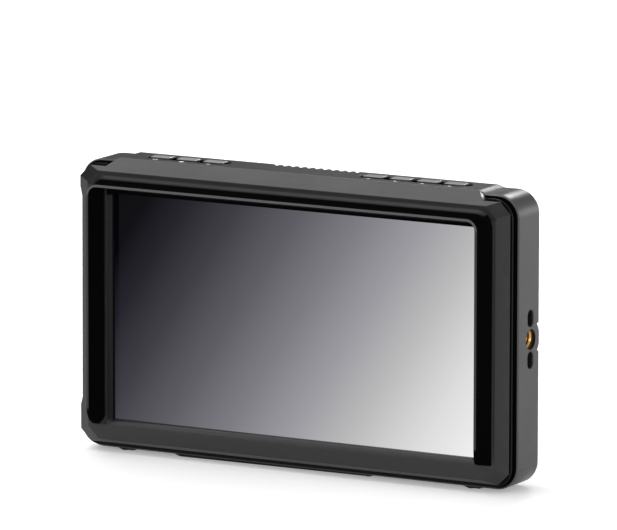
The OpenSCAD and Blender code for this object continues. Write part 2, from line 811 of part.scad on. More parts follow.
module backlight_tray() {
  color("#b4b6b8") in_place() translate([0, 0, screen_up]) difference() {
    union() {
      slab(tray_y, tray_back) square([tray_w, tray_h], center = true);
      slab(tray_y, tray_y + tray_t) square([tray_w, tray_h + 2 * tray_flange], center = true);
    }
    slab(tray_y - 1, tray_back - tray_t) square([glass_w, glass_h], center = true);
  }
}

module mainboard() {
  color("#1f5a3a") in_place() difference() {
    slab(board_y, board_back)
      translate([board_left, -board_z]) square([board_right - board_left, 2 * board_z]);
    board_screw_places() rod_y(screw_hole_d, board_y - 1, board_back + 1);
    box([board_left - 1, board_y - 1, power_z - power_body[2] / 2 - fit_gap],
        [power_body[0] + fit_gap - bay_x, board_back + 1, power_z + power_body[2] / 2 + fit_gap]);
  }
}

module video_chip() {
  color("#18181a") in_place() translate([chip_x, 0, 0])
    slab(board_back, board_back + chip_t) square(chip_w, center = true);
}

module heat_sink() {
  color("#a9acae") in_place() translate([chip_x, 0, 0]) {
    slab(board_back + chip_t, board_back + chip_t + sink_base) square(sink_w, center = true);
    for (i = [0 : fin_count - 1]) {
      x = (i / (fin_count - 1) - 0.5) * (sink_w - fin_t);
      slab(board_back + chip_t + sink_base - eps, inner_back)
        translate([x, 0]) square([fin_t, sink_w], center = true);
    }
  }
}

module board_chips() {
  color("#202022") in_place() {
    for (p = [[-40, -18], [-40, 16], [22, 14], [46, 12]])
      translate([p[0], 0, p[1]])
        slab(board_y - front_chip[1], board_y) square([front_chip[0], front_chip[2]], center = true);
    for (x = [16 : 8 : 48])
      translate([x, 0, -14])
        slab(board_back, board_back + back_chip[1]) square([back_chip[0], back_chip[2]], center = true);
  }
}

module capacitors() {
  color("#c9cbcc") in_place()
    for (x = [-20 : 8 : 12])
      translate([x, 0, board_post_z - 5]) rod_y(capacitor_d, board_y - capacitor_h, board_y);
}

// Flat ribbon from the back of the tray to the front of the mainboard
module display_ribbon() {
  low = -board_z - 5;
  bend_low = -board_z + 1;
  bend_high = -board_z + 5.5;
  high = -board_z + 10;
  front = board_y - ribbon_t;
  color("#b5762c") in_place() translate([display_ribbon_x, 0, 0])
    along_x(-display_ribbon_w / 2, display_ribbon_w / 2)
      polygon([[tray_back, low], [tray_back, bend_low], [front, bend_high], [front, high],
               [board_y, high], [board_y, bend_high], [tray_back + ribbon_t, bend_low],
               [tray_back + ribbon_t, low]]);
}

module key_board() {
  color("#1f5a3a") in_place() difference() {
    translate([-key_board_l / 2, key_y - key_board_w / 2, key_board_top - key_board_t])
      cube([key_board_l, key_board_w, key_board_t]);
    for (x = key_boss_x)
      translate([x, key_y, key_board_top - key_board_t - 1]) cylinder(d = screw_hole_d, h = key_board_t + 2);
  }
}

// X of every key, left row first
function key_xs() = concat(
  [for (i = [0 : left_keys - 1]) left_first_x + i * key_pitch],
  [for (i = [0 : right_keys - 1]) right_first_x + i * key_pitch]
);

module key_switches() {
  color("#8f9294") in_place() for (x = key_xs()) translate([x, key_y, key_board_top]) {
    translate([-switch_w / 2, -switch_w / 2, 0]) cube([switch_w, switch_w, switch_h]);
    cylinder(d = plunger_d, h = switch_h + plunger_h);
  }
}

// Ribbon from the rear half of the key board down to the back of the mainboard
module key_ribbon() {
  z = key_board_top - key_board_t;
  color("#b5762c") in_place() translate([key_ribbon_x, 0, 0]) along_x(-key_ribbon_w / 2, key_ribbon_w / 2)
    polygon([[key_y - 1, z], [key_y + 2, z], [key_y + 2, z - ribbon_t], [board_back + ribbon_t, board_z - 1],
             [board_back + ribbon_t, board_z - 4], [board_back, board_z - 4], [board_back, board_z - 1],
             [key_y + 1.5, z - ribbon_t], [key_y - 1, z - ribbon_t]]);
}

// Plate under the roof with a raised middle that fills the lower part of a key slot
module key_tray(row_l, keys, row_x, first_x) {
  color("#0c0c0d") in_place() difference() {
    translate([row_x, key_y, 0]) {
      translate([0, 0, inner_top - key_tray_t]) linear_extrude(key_tray_t) obround(row_l + 3, key_slot_w + 2);
      translate([0, 0, inner_top - eps]) linear_extrude(1.5)
        obround(row_l - 2 * fit_gap, key_slot_w - 2 * fit_gap);
    }
    for (i = [0 : keys - 1])
      translate([first_x + i * key_pitch, key_y, inner_top - key_tray_t - 1])
        linear_extrude(6) rounded(key_l + 2 * key_gap, key_w + 2 * key_gap, cap_corner + 0.1);
  }
}

module key_tray_left() {
  key_tray(left_row_l, left_keys, left_row_x, left_first_x);
}

module key_tray_right() {
  key_tray(right_row_l, right_keys, right_row_x, right_first_x);
}

// Key cap with the flange that holds it under the tray
module key_cap(first_x, number) {
  color("#c2c3c5") in_place() translate([first_x + (number - 1) * key_pitch, key_y, 0]) {
    translate([0, 0, flange_bottom]) linear_extrude(cap_top - flange_bottom) rounded(key_l, key_w, cap_corner);
    translate([0, 0, flange_bottom]) linear_extrude(flange_t)
      rounded(key_l + 2 * flange_rim, key_w + 2 * flange_rim, cap_corner);
  }
}

module key_left_1() {
  key_cap(left_first_x, 1);
}

module key_left_2() {
  key_cap(left_first_x, 2);
}

module key_left_3() {
  key_cap(left_first_x, 3);
}

module key_right_1() {
  key_cap(right_first_x, 1);
}

module key_right_2() {
  key_cap(right_first_x, 2);
}

module key_right_3() {
  key_cap(right_first_x, 3);
}

module key_right_4() {
  key_cap(right_first_x, 4);
}

// Video socket with its mouth in the left bay and a tongue inside
module video_socket(z) {
  color("#c6c8ca") in_place() translate([-bay_x, socket_mid_y, z]) {
    difference() {
      translate([0, -socket_h / 2, -socket_w / 2]) cube([socket_l, socket_h, socket_w]);
      along_x(-1, socket_l - 1.5) rotate(90) {
        w = socket_mouth_w / 2;
        h = socket_mouth_h / 2;
        polygon([[-w, -h], [w, -h], [w, h - 1.6], [w - 1.3, h], [-w + 1.3, h], [-w, h - 1.6]]);
      }
    }
    translate([2, -0.65, -5.9]) cube([socket_l - 3, 1.3, 11.8]);
  }
}

module hdmi_in_socket() {
  video_socket(-video_z);
}

module hdmi_out_socket() {
  video_socket(video_z);
}

module headphone_jack() {
  color("#141415") in_place() translate([-bay_x, phone_y, phone_z]) difference() {
    translate([0, -phone_body[1] / 2, -phone_body[2] / 2]) cube(phone_body);
    rod_x(phone_d, -1, phone_body[0] - 1);
  }
}

module power_jack() {
  color("#141415") in_place() translate([-bay_x, power_y, power_z]) difference() {
    translate([0, -power_body[1] / 2, -power_body[2] / 2]) cube(power_body);
    rod_x(power_d, -1, power_body[0] - 3);
    rod_x(power_pin_d, power_pin_tip, power_body[0] - 1);
  }
}

module power_jack_pin() {
  color("#c9a24a") in_place() translate([-bay_x, power_y, power_z])
    rod_x(power_pin_d, power_pin_tip, power_body[0] - 1);
}

// Brass insert with a blind bore at the thread's outer diameter
module thread_insert() {
  difference() {
    cylinder(d = insert_d, h = insert_l);
    translate([0, 0, -1]) cylinder(d = thread_d, h = insert_l - insert_floor + 1);
  }
}

module side_thread_insert() {
  color("#b08d4c") in_place() translate([shell_w / 2 - mouth_depth, insert_y, 0])
    rotate([0, -90, 0]) thread_insert();
}

module bottom_thread_insert() {
  color("#b08d4c") in_place() translate([0, bottom_y, mouth_depth - ground]) thread_insert();
}

module battery_plate() {
  color("#262627") in_place() difference() {
    union() {
      slab(shell_back, plate_face) rounded(plate_w, plate_h, 3);
      for (side = [-1, 1]) {
        translate([side * (rail_gap + rail_w) / 2, 0, 0])
          slab(plate_face - eps, rail_face) square([rail_w, rail_l], center = true);
        for (z = hook_z) translate([side * (rail_gap / 2 - hook_reach / 2 + 0.1), 0, z])
          slab(rail_face - hook_t, rail_face) square([hook_reach + 0.2, hook_l], center = true);
      }
    }
    plate_screw_places() {
      rod_y(screw_hole_d, shell_back - 1, rail_face);
      translate([0, plate_face - plate_head_t - 0.1, 0]) rotate([-90, 0, 0])
        cylinder(d1 = screw_d, d2 = head_d + 0.4, h = plate_head_t + 0.1 + eps);
    }
    translate([0, 0, release_z]) slab(shell_back - 1, plate_face + 1)
      rounded(release_size[0] + 2 * key_gap, release_size[1] + 2 * key_gap, 1);
  }
}

module contact_block() {
  color("#111112") in_place() translate([0, 0, contact_z]) difference() {
    slab(plate_face, rail_face) square(contact_size, center = true);
    for (x = blade_x) translate([x, 0, 1]) slab(plate_face + 0.8, rail_face - 0.8)
      square([blade_t + 0.2, contact_size[1]], center = true);
  }
}

module contact_blades() {
  color("#c9a24a") in_place() for (x = blade_x)
    translate([x, 0, contact_z + 2.5])
      slab(plate_face + 1.0, rail_face - 1.0) square([blade_t, blade_l], center = true);
}

module release_button() {
  color("#3a3a3c") in_place() translate([0, 0, release_z]) {
    slab(button_low, plate_face + release_proud)
      rounded(release_size[0], release_size[1], 0.8);
    slab(button_low, shell_back - release_gap)
      rounded(release_size[0] + 2 * release_rim, release_size[1] + 2 * release_rim, 0.8);
  }
}

// Points of the release spring: rings of eight round the helix
spring_low = cup_floor + spring_wire + 0.02;
spring_high = button_low - spring_wire - 0.02;
spring_steps = spring_turns * 24;
function spring_ring(i) =
  let (a = i * 15, y = spring_low + (spring_high - spring_low) * i / spring_steps)
  [for (k = [0 : 7])
    let (b = k * 45, r = spring_r + spring_wire * cos(b))
    [r * cos(a), y + spring_wire * sin(b), release_z + r * sin(a)]];

module release_spring() {
  points = [for (i = [0 : spring_steps]) each spring_ring(i)];
  sides = [for (i = [0 : spring_steps - 1], k = [0 : 7])
    [i * 8 + k, i * 8 + (k + 1) % 8, (i + 1) * 8 + (k + 1) % 8, (i + 1) * 8 + k]];
  last = spring_steps * 8;
  caps = [[for (k = [0 : 7]) 7 - k], [for (k = [0 : 7]) last + k]];
  color("#9a9ca0") in_place() polyhedron(points, concat(sides, caps));
}

// Screw along Y: its head at y_head points to the back, its tip at y_tip
module screw_y(y_tip, y_head) {
  difference() {
    union() {
      rod_y(screw_d, y_tip, y_head + eps);
      rod_y(head_d, y_head, y_head + head_t);
    }
    translate([0, y_head + head_t - hex_depth, 0]) rotate([-90, 0, 0]) cylinder(d = hex_d, h = 1, $fn = 6);
  }
}

module case_screws() {
  color("#5a5b5d") in_place() case_screw_places() screw_y(case_tip_y, case_head_y);
}

module board_screws() {
  color("#9a9ca0") in_place() board_screw_places()
    translate([0, board_y, 0]) mirror([0, 1, 0]) screw_y(-board_t - board_screw_l, 0);
}

module key_board_screws() {
  z = key_board_top - key_board_t;
  color("#9a9ca0") in_place() for (x = key_boss_x)
    translate([x, key_y, z]) rotate([90, 0, 0]) mirror([0, 1, 0]) screw_y(-key_screw_l, 0);
}

module plate_screws() {
  color("#5a5b5d") in_place() plate_screw_places() {
    rod_y(screw_d, plate_boss_y + 0.4, plate_face - plate_head_t);
    translate([0, plate_face - plate_head_t - 0.05, 0]) rotate([-90, 0, 0]) difference() {
      cylinder(d1 = screw_d, d2 = head_d + 0.3, h = plate_head_t);
      translate([0, 0, plate_head_t - hex_depth]) cylinder(d = hex_d, h = 1, $fn = 6);
    }
  }
}

front_bezel();
mid_frame();
rear_shell();
screen_glass();
lcd_cell();
diffuser_sheet();
light_guide();
led_strip();
backlight_tray();
mainboard();
video_chip();
heat_sink();
board_chips();
capacitors();
display_ribbon();
key_board();
key_switches();
key_ribbon();
key_tray_left();
key_tray_right();
key_left_1();
key_left_2();
key_left_3();
key_right_1();
key_right_2();
key_right_3();
key_right_4();
hdmi_in_socket();
hdmi_out_socket();
headphone_jack();
power_jack();
power_jack_pin();
side_thread_insert();
bottom_thread_insert();
battery_plate();
contact_block();
contact_blades();
release_button();
release_spring();
case_screws();
board_screws();
key_board_screws();
plate_screws();
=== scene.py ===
"""Camera field monitor with a moulded hood rim.

Finishes, fine pieces, lights and camera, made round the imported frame.
"""

import json
import logging
import math
from dataclasses import dataclass, field
from enum import Enum
from typing import Sequence

import bmesh
import bpy
from mathutils import Matrix, Vector
from mathutils.bvhtree import BVHTree
from mathutils.geometry import intersect_point_line


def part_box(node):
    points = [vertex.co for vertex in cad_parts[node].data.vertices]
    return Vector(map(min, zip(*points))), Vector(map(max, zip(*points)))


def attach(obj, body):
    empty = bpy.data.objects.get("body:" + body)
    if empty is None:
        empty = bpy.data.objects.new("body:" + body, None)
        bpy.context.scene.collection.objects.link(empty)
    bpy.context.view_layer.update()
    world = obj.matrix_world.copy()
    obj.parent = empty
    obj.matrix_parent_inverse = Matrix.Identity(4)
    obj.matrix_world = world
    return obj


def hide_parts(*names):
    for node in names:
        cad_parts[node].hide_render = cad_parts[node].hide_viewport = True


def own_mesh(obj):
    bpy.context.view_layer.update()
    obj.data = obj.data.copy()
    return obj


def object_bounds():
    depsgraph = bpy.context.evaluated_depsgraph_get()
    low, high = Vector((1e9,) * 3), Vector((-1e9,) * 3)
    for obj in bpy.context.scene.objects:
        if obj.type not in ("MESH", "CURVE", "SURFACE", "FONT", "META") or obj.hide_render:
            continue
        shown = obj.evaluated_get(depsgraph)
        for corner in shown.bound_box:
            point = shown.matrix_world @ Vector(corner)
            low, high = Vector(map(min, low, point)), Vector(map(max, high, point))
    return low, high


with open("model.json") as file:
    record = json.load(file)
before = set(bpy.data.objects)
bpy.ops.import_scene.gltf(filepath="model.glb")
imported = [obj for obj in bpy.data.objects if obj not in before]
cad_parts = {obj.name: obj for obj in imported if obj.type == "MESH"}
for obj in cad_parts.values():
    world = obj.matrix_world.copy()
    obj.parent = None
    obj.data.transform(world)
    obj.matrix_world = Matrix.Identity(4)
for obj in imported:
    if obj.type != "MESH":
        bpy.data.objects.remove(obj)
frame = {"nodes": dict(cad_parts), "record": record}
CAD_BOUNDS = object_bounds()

log = logging.getLogger("field_monitor")

Colour = tuple[float, float, float]
Point = tuple[float, float, float]
Range = tuple[float, float]

MM = 0.001
CASING = "casing"
# The design frame is in mm and has the middle of the front face at its origin
FACE_TO_ROW = Vector((0.0, -10.425, 48.299)) * MM
# The mouths of the two threaded inserts and the plane of the left side's sockets
SIDE_MOUTH: Point = (78.5, 13.9, 0.0)
LOW_MOUTH: Point = (0.0, 13.4, -47.299)
LEFT_X = -78.6
# Where most values of a noise lie
CORE: Range = (0.3, 0.7)
# Points closer than this, in metres, are merged
SEAM = 1e-6
# Edges flatter than this are shaded smooth
SMOOTH_ANGLE = math.radians(35.0)
WHITE: Colour = (1.0, 1.0, 1.0)
BLACK: Colour = (0.0, 0.0, 0.0)


def at(x: float, y: float, z: float) -> Vector:
    """Returns a point of the design frame in the row frame."""
    return Vector((x, y, z)) * MM + FACE_TO_ROW


class Value:
    """One shader socket, so that maths on it can be written as a plain expression."""

    def __init__(self, graph: "Graph", socket: bpy.types.NodeSocket) -> None:
        """Keeps the socket and the graph that it belongs to."""
        self.graph = graph
        self.socket = socket

    def _math(self, operation: str, *inputs: "Value | float") -> "Value":
        """Adds a Math node.

        Args:
            operation: The Math node's operation.
            inputs: Its inputs in order.

        Returns:
            The node's result.
        """
        return self.graph.node("ShaderNodeMath", {"operation": operation}, dict(enumerate(inputs)))

    def __add__(self, other: "Value | float") -> "Value":
        """Returns this value plus the other."""
        return self._math("ADD", self, other)

    __radd__ = __add__

    def __sub__(self, other: "Value | float") -> "Value":
        """Returns this value less the other."""
        return self._math("SUBTRACT", self, other)

    def __rsub__(self, other: float) -> "Value":
        """Returns the other less this value."""
        return self._math("SUBTRACT", other, self)

    def __mul__(self, other: "Value | float") -> "Value":
        """Returns this value times the other."""
        return self._math("MULTIPLY", self, other)

    __rmul__ = __mul__

    def __truediv__(self, other: "Value | float") -> "Value":
        """Returns this value divided by the other."""
        return self._math("DIVIDE", self, other)

    def power(self, other: float) -> "Value":
        """Returns this value raised to the other."""
        return self._math("POWER", self, other)

    def absolute(self) -> "Value":
        """Returns this value without its sign."""
        return self._math("ABSOLUTE", self)

    def clamped(self) -> "Value":
        """Returns this value held between 0 and 1."""
        return self.graph.node("ShaderNodeClamp", {}, {"Value": self})

    def ramp(self, low: float, high: float, to_low: float = 0.0, to_high: float = 1.0) -> "Value":
        """Maps a range of this value smoothly to another.

        Args:
            low: Where the range starts.
            high: Where it ends.
            to_low: What it starts with.
            to_high: What it ends with.

        Returns:
            The mapped value.
        """
        settings = {"interpolation_type": "SMOOTHSTEP"}
        inputs = {"Value": self, "From Min": low, "From Max": high, "To Min": to_low, "To Max": to_high}
        return self.graph.node("ShaderNodeMapRange", settings, inputs)


class Graph:
    """The node tree of the world or of a material."""

    showing: tuple[str, str, str] = ("Is Camera Ray", "Is Glossy Ray", "Is Transmission Ray")

    def __init__(self, owner: bpy.types.World | bpy.types.Material, output: str) -> None:
        """Clears the tree and adds its output.

        Args:
            owner: The world or the material.
            output: The output node's type.
        """
        owner.use_nodes = True
        self.tree = owner.node_tree
        self.tree.nodes.clear()
        self.output = self.tree.nodes.new(output)

    def node(self, kind: str, settings: dict, inputs: dict, result: str | int = 0) -> Value:
        """Adds a node.

        Args:
            kind: The node's type.
            settings: Its properties, set first. A list of stops goes to a ramp as position and colour.
            inputs: Values or links by the name or number of the socket.
            result: The output that is wanted.

        Returns:
            That output.
        """
        made = self.tree.nodes.new(kind)
        for key, value in settings.items():
            if key == "stops":
                self._set_stops(made.color_ramp, value)
            else:
                setattr(made, key, value)
        for key, value in inputs.items():
            self.feed(made.inputs[key], value)
        return Value(self, made.outputs[result])

    @staticmethod
    def _set_stops(ramp: bpy.types.ColorRamp, stops: Sequence[tuple[float, Colour]]) -> None:
        """Writes a ramp's stops.

        Args:
            ramp: The colour ramp.
            stops: Each stop's position and colour.
        """
        while len(ramp.elements) < len(stops):
            ramp.elements.new(0.5)
        for element, (position, colour) in zip(ramp.elements, stops):
            element.position = position
            element.color = (*colour, 1.0)

    def feed(self, socket: bpy.types.NodeSocket, value: object) -> None:
        """Links or sets one input.

        Args:
            socket: The input.
            value: A Value, a number or a colour.
        """
        if isinstance(value, Value):
            self.tree.links.new(value.socket, socket)
        elif isinstance(value, (tuple, list)) and len(value) == 3 and socket.type == "RGBA":
            socket.default_value = (*value, 1.0)
        else:
            socket.default_value = value

    def show(self, shader: Value) -> None:
        """Links a shader to the output."""
        self.feed(self.output.inputs[0], shader)

    def place(self) -> Value:
        """Returns the point on the object, in metres."""
        return self.node("ShaderNodeTexCoord", {}, {}, "Object")

    def axis(self, letter: str) -> Value:
        """Returns one coordinate of the point on the object, in metres."""
        return self.node("ShaderNodeSeparateXYZ", {}, {0: self.place()}, letter)

    def design(self, letter: str) -> Value:
        """Returns one coordinate of the point in the design frame, in mm."""
        return (self.axis(letter) - FACE_TO_ROW["XYZ".index(letter)]) / MM

    def noise(self, scale: float, detail: float = 3.0, roughness: float = 0.5) -> Value:
        """Adds a noise in object space.

        Args:
            scale: Its cells per metre.
            detail: Its octaves.
            roughness: How strong the fine octaves are.

        Returns:
            The noise, about 0.5 on average.
        """
        inputs = {"Vector": self.place(), "Scale": scale, "Detail": detail, "Roughness": roughness}
        return self.node("ShaderNodeTexNoise", {}, inputs)

    def mix(self, factor: Value | float, first: object, second: object) -> Value:
        """Mixes two colours.

        Args:
            factor: The share of the second.
            first: The first colour.
            second: The second colour.

        Returns:
            The mixed colour.
        """
        # A Mix node keeps its two colours and their result behind those of its other data types
        return self.node("ShaderNodeMix", {"data_type": "RGBA"}, {0: factor, 6: first, 7: second}, 2)

    def bump(self, height: Value, depth_mm: float) -> Value:
        """Turns a height into a normal.

        Args:
            height: The height, from 0 to 1.
            depth_mm: What a height of 1 stands for.

        Returns:
            The normal.
        """
        inputs = {"Height": height, "Distance": depth_mm * MM, "Strength": 1.0}
        return self.node("ShaderNodeBump", {}, inputs)

    def seen(self) -> Value:
        """Returns 1 for the rays that show a backdrop: seen straight, in a reflection or through glass."""
        straight, glossy, through = (self.node("ShaderNodeLightPath", {}, {}, ray) for ray in self.showing)
        return (straight + glossy + through).clamped()


class Surface(Graph):
    """A material's node tree, with its Principled shader."""

    def __init__(self, name: str) -> None:
        """Makes the material.

        Args:
            name: The material's name.
        """
        self.material = bpy.data.materials.new(name)
        super().__init__(self.material, "ShaderNodeOutputMaterial")
        self.shader = self.tree.nodes.new("ShaderNodeBsdfPrincipled")
        self.show(self.plain())

    def plain(self) -> Value:
        """Returns what the Principled shader gives."""
        return Value(self, self.shader.outputs[0])

    def base_colour(self) -> Value:
        """Returns what the Principled shader's base colour is linked to."""
        return Value(self, self.shader.inputs["Base Color"].links[0].from_socket)

    def set(self, **inputs: object) -> None:
        """Feeds the Principled shader's inputs, with _ for a space in their names."""
        for key, value in inputs.items():
            self.feed(self.shader.inputs[key.replace("_", " ")], value)


class Finish:
    """A finish that makes its material once."""

    name: str

    @property
    def label(self) -> str:
        """The material's name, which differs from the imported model's own."""
        return f"{self.name}_finish"

    def material(self) -> bpy.types.Material:
        """Returns the finish's material, made when it is first asked for."""
        return bpy.data.materials.get(self.label) or self.build().material

    def build(self) -> Surface:
        """Makes the material and returns its graph."""
        raise NotImplementedError


@dataclass(frozen=True)
class MouldedPlastic(Finish):
    """Moulded plastic with a fine spark-eroded grain, handling marks and slightly rubbed edges."""

    name: str
    colour: Colour
    roughness: float = 0.42
    grain_mm: float = 0.35
    grain_depth: float = 0.006
    rubbed: float = 0.25
    specular: float = 0.5
    cloud_scale: float = 38.0
    cloud_rough: float = 0.035
    cloud_gain: float = 1.08
    mark_scale: float = 210.0
    mark_rough: float = 0.04
    mark_range: Range = (0.45, 0.75)
    rub_range: Range = (0.42, 0.6)
    rub_gain: float = 1.9
    rub_lift: float = 0.01
    edge_range: Range = (0.52, 0.62)

    def build(self) -> Surface:
        """Makes the material.

        Returns:
            Its graph.
        """
        graph = Surface(self.label)
        grain = graph.noise(1.0 / (self.grain_mm * MM), detail=4.0, roughness=0.6)
        cloud = graph.noise(self.cloud_scale)
        marks = graph.noise(self.mark_scale, detail=2.0)
        uneven = cloud.ramp(*CORE, -self.cloud_rough, self.cloud_rough)
        marked = marks.ramp(*self.mark_range, 0.0, self.mark_rough)
        edge = graph.node("ShaderNodeNewGeometry", {}, {}, "Pointiness").ramp(*self.edge_range)
        worn = edge * marks.ramp(*self.rub_range) * self.rubbed
        bright = tuple(min(1.0, c * self.rub_gain + self.rub_lift) for c in self.colour)
        paler = tuple(c * self.cloud_gain for c in self.colour)
        shade = graph.mix(cloud.ramp(*CORE), self.colour, paler)
        graph.set(
            Base_Color=graph.mix(worn, shade, bright),
            Roughness=uneven + marked + self.roughness,
            Normal=graph.bump(grain, self.grain_depth),
            Specular_IOR_Level=self.specular,
        )
        return graph


@dataclass(frozen=True)
class ShadePaintedPlastic(MouldedPlastic):
    """Moulded plastic with painted shade, a black without sheen, in its recesses and grooves, and a
    painted highlight along one edge.

    The places of this finish and of those made from it are in mm of the design frame.
    """

    front: Range = (5.49, 5.52)
    # A painted highlight: a lighter grey along the chamfer of the shell's front edge, between these depths
    highlight_from: Range = (5.52, 5.6)
    highlight_to: Range = (5.9, 6.02)
    highlight_colour: Colour = (0.075, 0.075, 0.076)
    # Painted shade: a black without sheen for the recesses and grooves that lie in shade
    painted_shade_colour: Colour = (0.0028, 0.0028, 0.0028)
    painted_shade_rough: float = 0.9

    def painted_shade(self, graph: Surface) -> Value:
        """Gives how much painted shade each point gets: everything in front of the shell's front edge,
        which sits in the groove behind the bezel, gets it all.

        Args:
            graph: The material's graph.

        Returns:
            0 where the plastic is plain and 1 where it is all painted shade.
        """
        return graph.design("Y").ramp(*self.front, 1.0, 0.0)

    def painted_highlight(self, graph: Surface) -> Value:
        """Gives where a painted highlight lies: on the chamfer of the shell's front edge.

        Args:
            graph: The material's graph.

        Returns:
            0 where it is plain and 1 where it is lightest.
        """
        along = graph.design("Y")
        return along.ramp(*self.highlight_from) * along.ramp(*self.highlight_to, 1.0, 0.0)

    def build(self) -> Surface:
        """Makes the material.

        Returns:
            Its graph.
        """
        graph = super().build()
        # The painted highlight goes into the base colour
        graph.set(Base_Color=graph.mix(self.painted_highlight(graph), graph.base_colour(), self.highlight_colour))
        # The painted shade's shader, mixed in by its mask
        shade_shader = graph.node("ShaderNodeBsdfPrincipled", {}, {
            "Base Color": self.painted_shade_colour, "Roughness": self.painted_shade_rough, "Specular IOR Level": 0.0,
        })
        inputs = {0: self.painted_shade(graph), 1: graph.plain(), 2: shade_shader}
        graph.show(graph.node("ShaderNodeMixShader", {}, inputs))
        return graph


@dataclass(frozen=True)
class HoodShadePaintedPlastic(ShadePaintedPlastic):
    """The bezel's plastic, with painted shade on the walls of the hood rim, in the groove behind its
    flank, on the bevels round the screen and on a strip above the rim.

    Depths grow towards the front. Places along X hold on both sides, but the fade's on the right alone.
    """

    # The depth over which the painted shade comes in on the walls, which is much shorter right of the
    # screen
    fade_top: float = 1.05
    fade_side: float = 0.12
    fade_x: Range = (69.5, 71.2)
    # The painted shade stays on them up to the rim's front, whose upper edge gets a painted highlight
    rim_front: Range = (6.68, 6.78)
    highlight_front: Range = (6.7, 6.78)
    highlight_z: Range = (36.0, 38.0)
    # The painted shade ends where the walls do: the outer wall's lower end is cut to a round tip, the
    # inner wall's to a curved heel
    end_z: Range = (-34.5, -34.3)
    outside_x: Range = (70.9, 71.1)
    tip_x: float = 72.4
    tip_z: float = -37.0
    tip_wide: float = 1.9
    tip_long: float = 1.95
    tip_soft: Range = (-0.05, 0.1)
    heel_x: float = 67.3
    heel_z: float = -34.6
    heel_out: float = 1.4
    heel_long: float = 4.3
    heel_soft: Range = (0.0, 0.2)
    # Painted shade in the groove behind the bezel's flank
    groove_depth: Range = (-2.65, -2.5)
    groove_x: Range = (75.0, 75.6)
    # Painted shade on the bevels round the screen: all of it on the upper one, a share of it on those
    # beside it
    recess_depth: Range = (-0.1, 0.0)
    recess_x: Range = (71.6, 71.7)
    recess_top: Range = (40.4, 40.6)
    upper_z: Range = (36.0, 36.8)
    beside_z: Range = (-38.6, -36.8)
    beside_x: Range = (65.2, 65.6)
    beside: float = 0.7
    # The strip of the front face above the rim gets a share of painted shade
    brow: float = 0.4
    brow_back: Range = (-0.15, 0.0)
    brow_front: Range = (0.05, 0.2)
    brow_z: Range = (39.0, 39.5)

    def ends(self, across: Value, up: Value) -> Value:
        """Gives where the painted shade stays on the walls near their lower ends.

        Args:
            across: The distance from the middle.
            up: The height over the middle.

        Returns:
            1 where the walls keep the painted shade and 0 past their ends.
        """
        tip = ((self.tip_z - up) / self.tip_long).clamped()
        half = (1.0 - tip * tip).power(0.5) * self.tip_wide
        outer = (half - (across - self.tip_x).absolute()).ramp(*self.tip_soft)
        heel = ((self.heel_z - up) / self.heel_long).clamped()
        inner = (across - self.heel_x - heel * heel * self.heel_out).ramp(*self.heel_soft)
        low = up.ramp(*self.end_z, 1.0, 0.0)
        outside = across.ramp(*self.outside_x)
        return (1.0 - low * (1.0 - inner)) * (1.0 - low * outside * (1.0 - outer))

    def recess(self, depth: Value, across: Value, up: Value) -> Value:
        """Gives how much painted shade the bevel round the screen gets.

        Args:
            depth: The distance in front of the face.
            across: The distance from the middle.
            up: The height over the middle.

        Returns:
            0 where it is plain and 1 where it is all painted shade.
        """
        behind = depth.ramp(*self.recess_depth, 1.0, 0.0) * across.ramp(*self.recess_x, 1.0, 0.0)
        below_top = up.ramp(*self.recess_top, 1.0, 0.0)
        upper = up.ramp(*self.upper_z) * below_top
        sides = up.ramp(*self.beside_z) * across.ramp(*self.beside_x) * below_top
        return behind * (upper + sides * self.beside)

    def painted_shade(self, graph: Surface) -> Value:
        """Gives how much painted shade each point gets.

        Args:
            graph: The material's graph.

        Returns:
            0 where the plastic is plain and 1 where it is all painted shade.
        """
        depth, right, up = 0.0 - graph.design("Y"), graph.design("X"), graph.design("Z")
        across = right.absolute()
        fade = right.ramp(*self.fade_x, self.fade_top, self.fade_side)
        walls = (depth / fade).ramp(0.0, 1.0) * depth.ramp(*self.rim_front, 1.0, 0.0)
        groove = depth.ramp(*self.groove_depth, 1.0, 0.0) * across.ramp(*self.groove_x)
        face = depth.ramp(*self.brow_back) * depth.ramp(*self.brow_front, 1.0, 0.0)
        brow = face * up.ramp(*self.brow_z) * self.brow
        rim = walls * self.ends(across, up)
        # Painted shade on the rim's walls, in the groove, round the screen and above the rim
        return (rim + groove + self.recess(depth, across, up) + brow).clamped()

    def painted_highlight(self, graph: Surface) -> Value:
        """Gives where a painted highlight lies: on the front edge of the rim's top.

        Args:
            graph: The material's graph.

        Returns:
            0 where it is plain and 1 where it is lightest.
        """
        depth = 0.0 - graph.design("Y")
        # A painted highlight on the front edge of the rim's top
        return depth.ramp(*self.highlight_front) * graph.design("Z").ramp(*self.highlight_z)


@dataclass(frozen=True)
class CapPlastic(MouldedPlastic):
    """A key cap's plastic: grey on its top, with painted shade, near black, round its skirt, where it
    sinks into its tray.
    """

    top: float = 0.0
    skirt_mm: Range = (0.05, 0.1)
    # Painted shade: the cap goes near black round its skirt, below its top
    skirt_shade_colour: Colour = (0.004, 0.004, 0.004)

    def build(self) -> Surface:
        """Makes the material.

        Returns:
            Its graph.
        """
        graph = super().build()
        below = ((self.top - graph.axis("Z")) / MM).ramp(*self.skirt_mm)
        graph.set(Base_Color=graph.mix(below, graph.base_colour(), self.skirt_shade_colour))
        return graph


